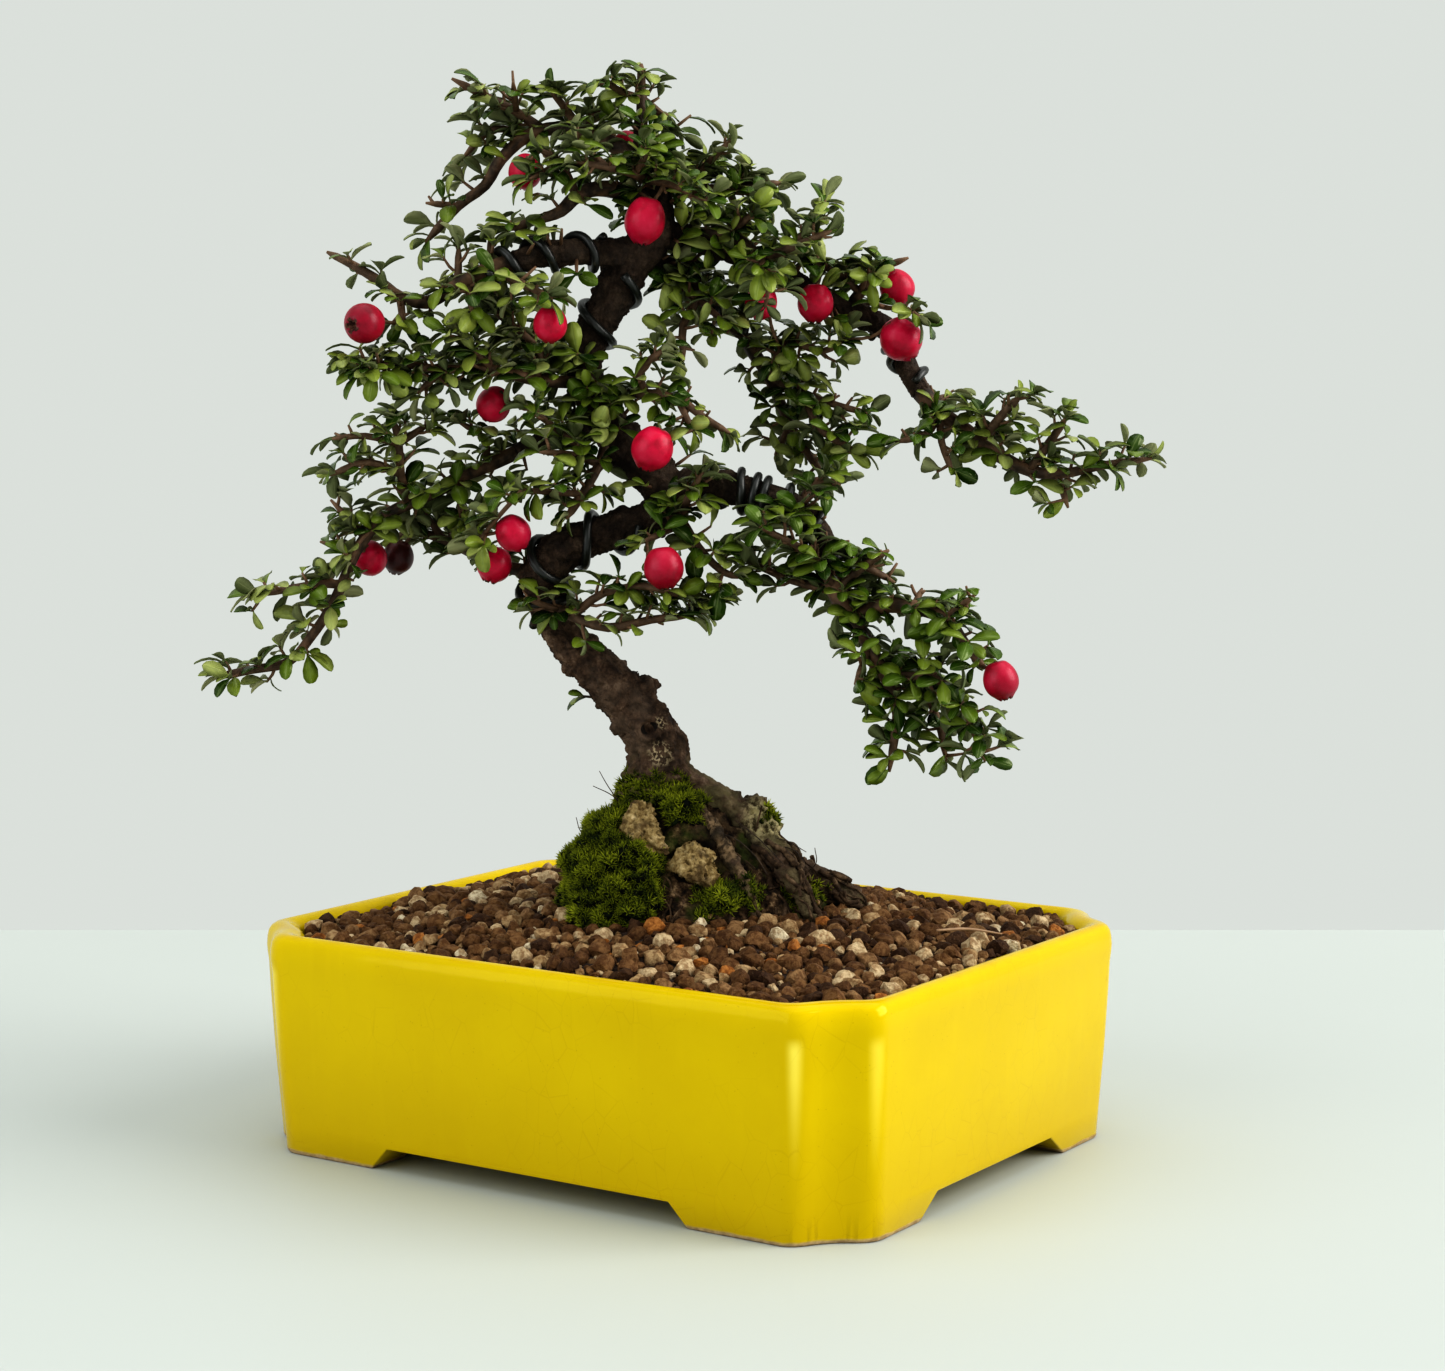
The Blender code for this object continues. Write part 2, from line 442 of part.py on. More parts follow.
def block(name, size, centre, collection):
    """Box of a full size about a centre, in metres."""
    shape = bmesh.new()
    matrix = Matrix.Translation(centre) @ Matrix.Diagonal((*size, 1.0))
    bmesh.ops.create_cube(shape, size=1.0, matrix=matrix)
    return make_object(name, mesh_from_bmesh(name, shape), collection)


def pot_outline(inset, z):
    """Outline of the pot with its indented corners, moved in from the rim's outer face."""
    half_x = POT_LENGTH / 2 - inset
    half_y = POT_DEPTH / 2 - inset
    valley = CORNER_CUT * CORNER_VALLEY
    # One corner, from the long side round to the short side, as distances from the corner
    corner = [(CORNER_CUT, 0.0, EDGE_ROUND), (valley, valley, VALLEY_ROUND), (0.0, CORNER_CUT, EDGE_ROUND)]
    points = []
    for sign_x, sign_y in ((1, -1), (1, 1), (-1, 1), (-1, -1)):
        steps = corner if sign_x * sign_y < 0 else corner[::-1]
        for dx, dy, round_to in steps:
            points.append((Vector((sign_x * (half_x - dx), sign_y * (half_y - dy))), round_to))
    outline = []
    for i, (here, round_to) in enumerate(points):
        before = points[i - 1][0]
        after = points[(i + 1) % len(points)][0]
        start = here + (before - here).normalized() * round_to
        end = here + (after - here).normalized() * round_to
        for t in (0.0, 0.5, 1.0):
            place = (1 - t) ** 2 * start + 2 * t * (1 - t) * here + t ** 2 * end
            outline.append((place.x, place.y, z))
    return outline


def build_pot(collection, cutters, material):
    """Pot: tapered wall, soft rolled rim, floor on corner feet and two drain holes."""
    pot = loft("pot", [pot_outline(inset, z) for inset, z in POT_LEVELS], collection)
    pot.data.materials.append(material)
    reach = POT_LENGTH
    below = -0.001
    for name, ground, top, along_x in (("arch_long", ARCH_X_GROUND, ARCH_X_TOP, True),
                                       ("arch_short", ARCH_Y_GROUND, ARCH_Y_TOP, False)):
        slope = (ground - top) / FOOT_HEIGHT
        rings = []
        for z in (below, FOOT_HEIGHT):
            half = top + slope * (FOOT_HEIGHT - z)
            sides = (half, reach) if along_x else (reach, half)
            rings.append([(x * sides[0], y * sides[1], z) for x, y in ((-1, -1), (1, -1), (1, 1), (-1, 1))])
        as_cutter(loft(name, rings, cutters))
    base_x = POT_LENGTH - 2 * BASE_TAPER - 2 * FOOT_WIDTH
    base_y = POT_DEPTH - 2 * BASE_TAPER - 2 * FOOT_WIDTH
    height = FOOT_HEIGHT - below
    as_cutter(block("recess", (base_x, base_y, height), (0, 0, FOOT_HEIGHT - height / 2), cutters))
    for side in (-1, 1):
        shape = bmesh.new()
        matrix = Matrix.Translation((side * DRAIN_X, 0, FLOOR_TOP / 2))
        bmesh.ops.create_cone(shape, cap_ends=True, segments=16, radius1=DRAIN_RADIUS, radius2=DRAIN_RADIUS,
                              depth=2 * FLOOR_TOP, matrix=matrix)
        as_cutter(make_object(f"drain_{side}", mesh_from_bmesh("drain", shape), cutters))
    boolean(pot, "DIFFERENCE", cutters)
    return pot


def build_screens(collection, cutters, seats, material):
    """Drain screens that lie on the pot's floor over the holes."""
    z = FLOOR_TOP + GAP + SCREEN_THICK / 2
    room = 2 * GAP
    for name, x in (("screen_left", -DRAIN_X), ("screen_right", DRAIN_X)):
        screen = block(name, (SCREEN_SIDE, SCREEN_SIDE, SCREEN_THICK), (x, 0, z), collection)
        screen.data.materials.append(material)
        holes = bpy.data.collections.new(name + "_holes")
        cutters.children.link(holes)
        for i in (-0.5, 0.5):
            for j in (-0.5, 0.5):
                place = (x + i * SCREEN_PITCH, j * SCREEN_PITCH, z)
                size = (SCREEN_HOLE, SCREEN_HOLE, 3 * SCREEN_THICK)
                as_cutter(block(f"{name}_hole", size, place, holes))
        boolean(screen, "DIFFERENCE", holes)
        side = SCREEN_SIDE + room
        as_cutter(block(name + "_seat", (side, side, 2 * (SCREEN_THICK + room)), (x, 0, z), seats))


def soil_height(x, y):
    """Height of the soil: a little below the rim at the edge, heaped towards the middle."""
    far = min(1.0, math.hypot(x / (POT_LENGTH / 2), y / (POT_DEPTH / 2)))
    return SOIL_EDGE + SOIL_RISE * (1 - far ** 2) ** 1.2


def build_soil(collection, guides, seats, material):
    """Granular soil that fills the pot, with seats for what stands in it."""
    top = POT_HEIGHT + 2 * SOIL_RISE
    levels = [(WALL_FLOOR + 0.0012, FLOOR_TOP + GAP), (WALL_FLOOR, FLOOR_TOP + GAP + 0.0015),
              (WALL_TOP + 0.00003, POT_HEIGHT - 0.0031), (WALL_TOP, top)]
    soil = loft("soil", [pot_outline(inset + 1.3 * GAP, z) for inset, z in levels], collection)
    soil.data.materials.append(material)
    draw = random.Random(11)
    shape = bmesh.new()
    bmesh.ops.create_grid(shape, x_segments=SOIL_CELLS[0], y_segments=SOIL_CELLS[1], size=0.5)
    for vert in shape.verts:
        vert.co.x *= POT_LENGTH
        vert.co.y *= POT_DEPTH
        vert.co.z = soil_height(vert.co.x, vert.co.y) + draw.uniform(-SOIL_RELIEF, SOIL_RELIEF)
    floor = bmesh.ops.extrude_face_region(shape, geom=shape.faces[:])
    for vert in floor["geom"]:
        if isinstance(vert, bmesh.types.BMVert):
            vert.co.z = 0.0
    bmesh.ops.triangulate(shape, faces=shape.faces)
    bed = as_cutter(make_object("soil_bed", mesh_from_bmesh("soil_bed", shape), guides))
    boolean(soil, "INTERSECT", bed)
    boolean(soil, "DIFFERENCE", seats)
    return soil


def mound_shape(name, collection, parent, grow=0.0):
    """Dome of the root mound, lumpy and a little flattened from front to back."""
    profile = [(28.5, 41.5), (27.5, 45.0), (25.5, 49.5), (22.5, 54.5), (19.0, 60.0), (14.5, 65.0), (8.5, 68.5)]
    rings = []
    turns = 16
    for radius, z in profile:
        ring = []
        for i in range(turns):
            angle = 2 * math.pi * i / turns
            lump = 0.9 * noise.noise(Vector((1.6 * math.cos(angle), 1.6 * math.sin(angle), z * 0.16)))
            reach = (radius + lump) * MM + grow
            if math.cos(angle) < 0:
                reach *= 1.0 + MOUND_LEFT_LESS * math.cos(angle)
            elif z < MOUND_RIGHT_FOOT:
                reach *= 1.0 + MOUND_RIGHT_MORE * math.cos(angle)
            ring.append((MOUND_CENTRE[0] + reach * math.cos(angle),
                         MOUND_CENTRE[1] + reach * MOUND_DEPTH_SCALE * math.sin(angle), z * MM + grow))
        rings.append(ring)
    rings[0] = [(x, y, z - 2 * grow) for x, y, z in rings[0]]
    return loft(name, rings, collection, parent)


def wood_paths():
    """Centre line of every length of wood and how many sides its tube has."""
    paths = {"trunk": (TRUNK, 2)}
    paths.update({name: (points, 1) for name, points in BRANCHES.items()})
    paths.update({name: (points, 1) for name, points in ROOTS.items()})
    return paths


def build_wood(collection, parent, material):
    """Trunk, main branches and roots, with their burrs, fused in one body."""
    pieces = [tube(name, path, sides, collection, parent) for name, (path, sides) in wood_paths().items()]
    for x, y, z, radius in KNOBS:
        pieces.append(ball("knob", (x, y, z), (radius, radius, radius), collection, parent, 1))
    wood = fuse("trunk_wood", pieces, collection, parent)
    wood.data.materials.clear()
    wood.data.materials.append(material)
    return wood


def build_mound(collection, parent, seats, mound_cutters, moss_cutters, materials):
    """Root mound with two stones and moss cushions, each seated against the wood and the others."""
    stones = {"stone_upper": ((-8.4, -13.1, 63.2), (5.1, 4.4, 5.4)),
              "stone_lower": ((1.0, -16.5, 57.0), (5.7, 4.5, 4.7))}
    cushions = {"moss_left": ((-12.0, -8.0, 47.0), (13.2, 14.5, 20.0), 2),
                "moss_crest": ((-2.0, -9.5, 65.5), (6.8, 5.2, 5.5), 1),
                "moss_right": ((7.3, -19.2, 50.0), (3.6, 3.3, 3.3), 1)}
    mound = mound_shape("root_mound", collection, parent)
    mound.data.materials.append(materials["earth"])
    big_mound = as_cutter(mound_shape("mound_seat", seats, parent, GAP))
    moss_cutters.objects.link(big_mound)
    low_trunk = [row for row in TRUNK if row[2] < 90]
    for name, path in [("trunk", low_trunk)] + list(ROOTS.items()):
        sides = 2 if name == "trunk" else 1
        seat = as_cutter(tube(name + "_seat", path, sides, seats, parent, GAP))
        mound_cutters.objects.link(seat)
        moss_cutters.objects.link(seat)
    for x, y, z, radius in [knob for knob in KNOBS if knob[2] < 70]:
        seat = as_cutter(ball("knob_seat", (x, y, z), [radius] * 3, mound_cutters, parent, 1, 0.0, GAP))
        moss_cutters.objects.link(seat)
    for name, (centre, size) in stones.items():
        stone = ball(name, centre, size, collection, parent, 2, 0.22)
        stone.data.materials.append(materials["stone"])
        boolean(stone, "DIFFERENCE", bpy.data.objects["root_front_seat"])
        seat = as_cutter(ball(name + "_seat", centre, size, seats, parent, 2, 0.22, GAP))
        mound_cutters.objects.link(seat)
        moss_cutters.objects.link(seat)
    for name, (centre, size, detail) in cushions.items():
        cushion = ball(name, centre, size, collection, parent, detail, 0.10)
        cushion.data.materials.append(materials["moss"])
        boolean(cushion, "DIFFERENCE", moss_cutters)
        as_cutter(ball(name + "_seat", centre, size, seats, parent, detail, 0.10, GAP))
    boolean(mound, "DIFFERENCE", mound_cutters)


def frames_along(path):
    """Point, tangent and two normals carried along a path of vectors."""
    points = [Vector(row[:3]) for row in path]
    side = Vector((0, 0, 1))
    frames = []
    for i, point in enumerate(points):
        ahead = points[min(i + 1, len(points) - 1)] - points[max(i - 1, 0)]
        ahead.normalize()
        side = side - ahead * side.dot(ahead)
        if side.length < 0.05:
            side = ahead.orthogonal()
        side.normalize()
        frames.append((point, ahead, side.copy(), ahead.cross(side)))
    return frames


def coil_path(path, start, end, turns, wire_radius, phase):
    """Helix of a wire round a branch, clear of its bark."""
    fine = smooth_path(path, 6)
    frames = frames_along(fine)
    count = round(turns * 9)
    points = []
    for i in range(count + 1):
        place = (start + (end - start) * i / count) * (len(fine) - 1)
        point, ahead, side, across = frames[round(place)]
        angle = 2 * math.pi * (phase + turns * i / count)
        reach = fine[round(place)][3] * 1.07 + wire_radius + 1.4 * GAP / MM
        spot = point + (side * math.cos(angle) + across * math.sin(angle)) * reach
        points.append((*spot, wire_radius))
    return points


def build_wires(collection, parent, material):
    """Training wires, each a coil on its branch."""
    wires = []
    for name, (line, start, end, turns, radius, phase) in WIRES.items():
        path = coil_path(line, start, end, turns, radius, phase)
        wire = tube(name, path, 0, collection, parent)
        wire.data.materials.append(material)
        wires.append(wire)
    return wires


class Leaves:
    """Places leaves so that their blades clear each other and everything else."""

    def __init__(self):
        self.fixed = []
        self.blades = []

    def add_fixed(self, owner, item):
        """Keep blades clear of an object; its own spray's twigs are only kept clear of outer blades."""
        self.fixed.append((owner, surface_of(item)))

    def fits(self, owner, frame, size):
        """True where a blade with its clearance meets nothing that it has to clear."""
        whole = leaf_surface(frame, size, 0.0, GAP)
        outer = leaf_surface(frame, size, LEAF_FOOT, 0.5 * GAP)
        for other, surface in self.fixed:
            if (outer if other == owner else whole).overlap(surface):
                return False
        for other, place, surface, other_outer in self.blades:
            if (place - frame.translation).length > 2.2 * size:
                continue
            if other == owner:
                if outer.overlap(other_outer):
                    return False
            elif whole.overlap(surface):
                return False
        self.blades.append((owner, frame.translation.copy(), leaf_surface(frame, size, 0.0, 0.0),
                            leaf_surface(frame, size, LEAF_FOOT, 0.0)))
        return True


def surface_of(item):
    """Search tree of an object's faces in the tree's frame."""
    shape = bmesh.new()
    shape.from_mesh(item.data)
    tree = BVHTree.FromBMesh(shape)
    shape.free()
    return tree


def leaf_points(frame, size, start, grow):
    """Outline of an obovate leaf with its blunt tip, and the crown of its upper face."""
    wide = size * LEAF_WIDTH / LEAF_LENGTH
    points = []
    for along, across in ((start, 0), *LEAF_OUTLINE):
        spread = math.copysign(grow, across) if across else 0.0
        ahead = grow if along > LEAF_CROWN + 0.1 else 0.0
        arch = LEAF_ARCH * size * math.sin(math.pi * along) - grow
        points.append(frame @ Vector((across * wide + spread, along * size + ahead, arch)))
    points.append(frame @ Vector((0, LEAF_CROWN * size, LEAF_ARCH * size + LEAF_THICK + grow)))
    return points


def leaf_surface(frame, size, start, grow):
    """Search tree of a leaf, or of its outer part, with room round it."""
    return BVHTree.FromPolygons(leaf_points(frame, size, start, grow), LEAF_FACES)


def make_leaf(frame, size, collection, parent):
    """Leaf as a low five-sided cone, pulled into an arched obovate blade."""
    shape = bmesh.new()
    bmesh.ops.create_cone(shape, cap_ends=True, segments=5, radius1=1.0, radius2=0.0, depth=1.0)
    ring = sorted((v for v in shape.verts if v.co.z < 0), key=lambda v: math.atan2(v.co.y, v.co.x))
    crown = [v for v in shape.verts if v.co.z > 0]
    for vert, point in zip(ring + crown, leaf_points(frame, size, 0.0, 0.0)):
        vert.co = point
    return make_object("leaf", mesh_from_bmesh("leaf", shape), collection, parent)


def resample(path, spacing):
    """Points at even distances along a path, in millimetres, from its first point."""
    rows = [path[0]]
    left = spacing
    for start, end in zip(path, path[1:]):
        length = (end.xyz - start.xyz).length
        done = 0.0
        while length - done >= left:
            done += left
            rows.append(start.lerp(end, done / length))
            left = spacing
        left -= length - done
    return rows


def clear_start(path, wood):
    """Path with its start drawn back until the tube's end clears the wood."""
    fine = resample(path, 0.25)
    for i, row in enumerate(fine[:-8]):
        place = row.xyz * MM
        near, normal, _, distance = wood.find_nearest(place)
        outside = (place - near).dot(normal) > 0
        ahead = (fine[i + 1].xyz - row.xyz).normalized()
        tilt = min(1.0, ahead.cross((place - near).normalized()).length)
        if outside and distance > row.w * MM * tilt + GAP:
            rest = [p for p in path if (p.xyz - row.xyz).dot(ahead) > 1.2]
            return [row] + rest
    return path


def twig_paths(twigs, wood):
    """Centre lines of a spray's twigs, the first one drawn back to clear the wood."""
    paths = []
    for index, (points, first, last) in enumerate(twigs):
        count = len(points) - 1
        rows = [(*p, first + (last - first) * i / count) for i, p in enumerate(points)]
        path = smooth_path(rows, 1)
        paths.append(clear_start(path, wood) if index == 0 else path)
    return paths


def leaf_frame(place, direction, lift, radius):
    """Leaf's own frame: Y along the blade, Z out of its upper face, root inside the twig."""
    normal = (lift - direction * lift.dot(direction)).normalized()
    side = direction.cross(normal)
    frame = Matrix((side, direction, normal)).transposed().to_4x4()
    frame.translation = place * MM - direction * min(0.7 * radius, 0.5) * MM
    return frame


def leaf_spots(paths, draw):
    """Place, direction and upward side of every leaf that a spray could carry."""
    up = Vector((0, 0, 1))
    for index, path in enumerate(paths):
        rows = resample(path, LEAF_SPACING / MM)
        turn = draw.uniform(0, 2 * math.pi)
        bare = 1 if len(rows) > 3 else 0
        for i, row in enumerate(rows):
            ahead = (rows[min(i + 1, len(rows) - 1)].xyz - rows[max(i - 1, 0)].xyz).normalized()
            side = ahead.orthogonal().normalized()
            across = ahead.cross(side)
            last = i == len(rows) - 1
            for _ in range(END_LEAVES if last else 1):
                turn += GOLDEN_ANGLE
                if i < bare:
                    continue
                lean = math.radians(draw.uniform(*(LEAN_END if last else LEAN_ALONG)))
                out = side * math.cos(turn) + across * math.sin(turn)
                direction = (ahead * math.cos(lean) + out * math.sin(lean)).normalized()
                lift = ahead * 0.7 + up * 0.6 + Vector((0, -0.25, 0))
                yield row, direction, lift


def berry_stalks(sprays):
    """Short stalk from a twig to each berry, listed by spray, and the way from each berry to its stalk."""
    stalks = {}
    ways = {}
    for name, (centre, radius, spray) in BERRIES.items():
        centre = Vector(centre)
        rows = [row for path in sprays[spray] for row in resample(path, 0.5)]
        root = min(rows, key=lambda row: abs((row.xyz - centre).length - 1.6 * radius))
        ways[name] = (root.xyz - centre).normalized()
        end = centre + ways[name] * (radius * BERRY_LENGTH_SCALE + GAP / MM)
        stalk = [(*spot, STALK_RADIUS) for spot in (root.xyz, end)]
        stalks.setdefault(spray, []).append(stalk)
    return stalks, ways


def build_berries(ways, collection, parent, material):
    """Ripe berries: egg-shaped, with the dimple of the old flower opposite the stalk."""
    berries = []
    for name, (centre, radius, _) in BERRIES.items():
        shape = bmesh.new()
        bmesh.ops.create_uvsphere(shape, u_segments=7, v_segments=5, radius=1.0)
        turn = ways[name].to_track_quat("Z", "Y").to_matrix()
        for vert in shape.verts:
            x, y, z = vert.co
            full = 1.0 - 0.10 * z
            z = z * BERRY_LENGTH_SCALE if z > -0.99 else BERRY_DIMPLE
            vert.co = (Vector(centre) + turn @ Vector((x * full, y * full, z)) * radius) * MM
        berry = make_object(name, mesh_from_bmesh(name, shape), collection, parent)
        berry.data.materials.append(material)
        berries.append(berry)
    return berries


def build_foliage(sprays, stalks, wood, blockers, collection, parent, material):
    """Leafy sprays: twigs, berry stalks and leaves of each one fused in one body."""
    leaves = Leaves()
    for item in [wood] + blockers:
        leaves.add_fixed("other", item)
    pieces = {name: [] for name in sprays}
    for name, paths in sprays.items():
        for path in paths + stalks.get(name, []):
            sides = 1 if path[0][3] > 1.3 else 0
            twig = tube(name, path, sides, collection, parent)
            pieces[name].append(twig)
            leaves.add_fixed(name, twig)
    for name, paths in sprays.items():
        draw = random.Random(name)
        for row, direction, lift in leaf_spots(paths, draw):
            size = LEAF_LENGTH * draw.uniform(*LEAF_SIZES)
            frame = leaf_frame(row.xyz, direction, lift, row.w)
            if leaves.fits(name, frame, size):
                pieces[name].append(make_leaf(frame, size, collection, parent))
    for name, parts in pieces.items():
        spray = fuse(name, parts, collection, parent)
        spray.data.materials.append(material)
    print("leaves:", len(leaves.blades))


def main():
    """Build the bonsai."""
    for item in list(bpy.data.objects):
        bpy.data.objects.remove(item, do_unlink=True)
    model = new_collection("cotoneaster_bonsai")
    pot_cutters = new_collection("pot_cutters", False)
    screen_cutters = new_collection("screen_cutters", False)
    guides = new_collection("guides", False)
    seats = new_collection("soil_seats", False)
    mound_cutters = new_collection("mound_cutters", False)
    moss_cutters = new_collection("moss_cutters", False)

    glaze = make_material("yellow_glaze", (0.72, 0.56, 0.02), 0.18)
    mesh_plastic = make_material("screen_plastic", (0.03, 0.03, 0.03), 0.6)
    granules = make_material("soil_granules", (0.13, 0.065, 0.04), 0.95)
    earth = make_material("root_earth", (0.08, 0.055, 0.035), 0.95)
    stone = make_material("tan_stone", (0.42, 0.34, 0.22), 0.9)
    moss = make_material("moss", (0.07, 0.12, 0.015), 0.95)
    bark = make_material("bark", (0.05, 0.035, 0.028), 0.85)
    wire = make_material("black_wire", (0.012, 0.013, 0.016), 0.35, 0.6)
    leaf = make_material("leaf", (0.06, 0.13, 0.02), 0.4)
    berry_red = make_material("berry_red", (0.62, 0.015, 0.03), 0.35)

    tree = make_object("tree", None, model)
    tree.rotation_euler.z = TREE_TURN
    wood = build_wood(model, tree, bark)
    wires = build_wires(model, tree, wire)
    sprays = {name: twig_paths(twigs, surface_of(wood)) for name, twigs in SPRAYS.items()}
    stalks, ways = berry_stalks(sprays)
    berries = build_berries(ways, model, tree, berry_red)
    build_foliage(sprays, stalks, wood, wires + berries, model, tree, leaf)
    build_mound(model, tree, seats, mound_cutters, moss_cutters, {"earth": earth, "stone": stone, "moss": moss})
    build_pot(model, pot_cutters, glaze)
    build_screens(model, screen_cutters, seats, mesh_plastic)
    build_soil(model, guides, seats, granules)


main()
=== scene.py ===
# %% [markdown]
# # A small-leaved cotoneaster, grown as a bonsai
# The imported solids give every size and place. This lesson dresses them: a glazed pot, loose
# granules, a mossy root mound, rough bark, wired branches, several thousand small leaves and
# ripe fruits. All lengths are metres once they are in a mesh; the lists that describe the tree
# are in millimetres, in the tree's own frame: x to the right, y to the back, z up.

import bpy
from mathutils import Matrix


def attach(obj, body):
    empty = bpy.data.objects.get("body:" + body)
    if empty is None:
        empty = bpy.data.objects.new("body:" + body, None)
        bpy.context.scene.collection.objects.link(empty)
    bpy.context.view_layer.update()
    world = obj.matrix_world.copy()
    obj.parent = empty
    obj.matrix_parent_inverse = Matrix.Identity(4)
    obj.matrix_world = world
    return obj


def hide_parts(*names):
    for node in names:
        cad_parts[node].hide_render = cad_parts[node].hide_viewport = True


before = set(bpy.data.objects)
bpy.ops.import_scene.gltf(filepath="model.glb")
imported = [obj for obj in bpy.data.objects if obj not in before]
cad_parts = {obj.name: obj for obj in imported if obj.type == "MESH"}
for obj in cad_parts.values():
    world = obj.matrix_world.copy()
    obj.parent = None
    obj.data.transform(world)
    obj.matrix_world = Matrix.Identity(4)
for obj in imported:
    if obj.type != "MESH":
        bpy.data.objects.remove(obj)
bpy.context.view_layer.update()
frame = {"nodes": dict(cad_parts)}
nodes = frame["nodes"]

# %% Imports and measures that everything shares
import math
import random

import bpy
import numpy as np
from mathutils import Matrix, Vector, noise
from mathutils.bvhtree import BVHTree
from mathutils.kdtree import KDTree

MM = 0.001
TREE_TURN = math.radians(33.4)
TREE = Matrix.Rotation(TREE_TURN, 4, "Z") @ Matrix.Scale(MM, 4)
TO_TREE = TREE.inverted()
UP = Vector((0, 0, 1))
GOLDEN = math.radians(137.5)
FULL_TURN = 6.28
EYE = Vector((6.5, -572.5, 149.9))


def linked(name, data):
    """A new object in the scene with this data."""
    made = bpy.data.objects.new(name, data)
    bpy.context.scene.collection.objects.link(made)
    return made


# %% [markdown]
# ## The camera first
# The photo was taken a little above the rim of the pot, from its corner. The camera stands
# where lines from the pot's corners meet, so that every solid falls on its own place in the
# picture. A long lens keeps the pot's sides nearly parallel. Setting it first means that every
# later step can be judged against the photo.

# %% Camera
PHOTO_WIDE = 1445
FOCAL_PIXELS = 2968
SENSOR = 36.0
PITCH = 83.93
camera_data = bpy.data.cameras.new("camera")
camera_data.sensor_width = SENSOR
camera_data.lens = FOCAL_PIXELS * SENSOR / PHOTO_WIDE
camera = linked("camera", camera_data)
camera.location = TREE @ EYE
camera.rotation_euler = (math.radians(PITCH), 0.0, TREE_TURN)
bpy.context.scene.camera = camera
print("lens:", round(camera_data.lens, 1), "mm")

# %% [markdown]
# ## Shader maths as plain sums
# A material is a chain of nodes. Writing `1 - mask * 0.5` is easier to follow than wiring
# three nodes by hand, so a small class wraps a socket and lets Python's own signs add Math
# nodes. One more method makes every other kind of node: its type, its settings and its inputs.


# %% A socket that can be added and multiplied
class Value:
    """A number, colour or vector on its way through a material."""

    def __init__(self, look, socket):
        self.look = look
        self.socket = socket

    def __add__(self, other):
        return self.look.math("ADD", self, other)

    def __mul__(self, other):
        return self.look.math("MULTIPLY", self, other)

    def __sub__(self, other):
        return self.look.math("SUBTRACT", self, other)

    def __rsub__(self, other):
        return self.look.math("SUBTRACT", other, self)

    __radd__ = __add__
    __rmul__ = __mul__


class Look:
    """A material that is built step by step."""

    def __init__(self, name, **plain):
        self.material = bpy.data.materials.new(name)
        self.material.use_nodes = True
        self.tree = self.material.node_tree
        self.shader = self.tree.nodes["Principled BSDF"]
        for socket, value in plain.items():
            self.shader.inputs[socket.replace("_", " ")].default_value = value

    def node(self, kind, settings=None, inputs=None, out=0):
        """Any shader node: type, settings, and values or links by socket."""
        made = self.tree.nodes.new("ShaderNode" + kind)
        for key, value in (settings or {}).items():
            if key == "stops":
                ramp = made.color_ramp
                while len(ramp.elements) < len(value):
                    ramp.elements.new(0.5)
                for element, (place, colour) in zip(ramp.elements, value):
                    element.position = place
                    element.color = (*colour, 1.0)
            else:
                setattr(made, key, value)
        for key, value in (inputs or {}).items():
            self.feed(made.inputs[key], value)
        return Value(self, made.outputs[out])

    def feed(self, socket, value):
        """Link a Value to a socket, or set the socket to a plain value."""
        if isinstance(value, Value):
            self.tree.links.new(value.socket, socket)
        else:
            socket.default_value = value

    def math(self, operation, a, b=0.0):
        return self.node("Math", {"operation": operation}, {0: a, 1: b})

    def vector(self, operation, a, b=(0, 0, 0), out=0):
        return self.node("VectorMath", {"operation": operation}, {0: a, 1: b}, out)

    def spot(self):
        """Object coordinates in metres."""
        return self.node("TexCoord", out="Object")

    def place(self, stretch=(1, 1, 1)):
        """Object coordinates, stretched."""
        return self.node("Mapping", {}, {"Vector": self.spot(), "Scale": stretch})

    def noise(self, scale, detail=3.0, rough=0.55, place=None, kind="FBM"):
        return self.node("TexNoise", {"noise_type": kind}, {
            "Vector": place or self.place(), "Scale": scale, "Detail": detail, "Roughness": rough})

    def cells(self, scale, feature="F1", place=None):
        return self.node("TexVoronoi", {"feature": feature}, {
            "Vector": place or self.place(), "Scale": scale})

    def height(self):
        """Height above the ground, in metres."""
        return self.node("SeparateXYZ", {}, {0: self.spot()}, out=2)

    def rise(self, value, low, high):
        """0 below low, 1 above high, smooth between them."""
        return self.node("MapRange", {"interpolation_type": "SMOOTHSTEP"}, {0: value, 1: low, 2: high})

    def ramp(self, value, stops, steps="LINEAR"):
        made = self.node("ValToRGB", {"stops": stops}, {0: value})
        made.socket.node.color_ramp.interpolation = steps
        return made

    def mix(self, share, a, b, blend="MIX"):
        """Mix two colours."""
        a, b = [(*c, 1.0) if isinstance(c, tuple) else c for c in (a, b)]
        return self.node("Mix", {"data_type": "RGBA", "blend_type": blend}, {0: share, 6: a, 7: b}, out=2)

    def attribute(self, name):
        return self.node("Attribute", {"attribute_name": name}, out="Fac")

    def near(self, spot, radius):
        """1 at a spot of the tree (millimetres), fading to 0 at a radius."""
        far = self.vector("DISTANCE", self.spot(), TREE @ Vector(spot), out=1)
        return 1 - self.rise(far, 0.35 * radius * MM, radius * MM)

    def bump(self, height, depth, strength=1.0):
        """Small relief: a height from 0 to 1 and its real depth in metres."""
        return self.node("Bump", {}, {"Height": height, "Distance": depth, "Strength": strength})

    def end(self, **links):
        """Feed the shader's sockets and return the material."""
        for socket, value in links.items():
            self.feed(self.shader.inputs[socket.replace("_", " ")], value)
        return self.material


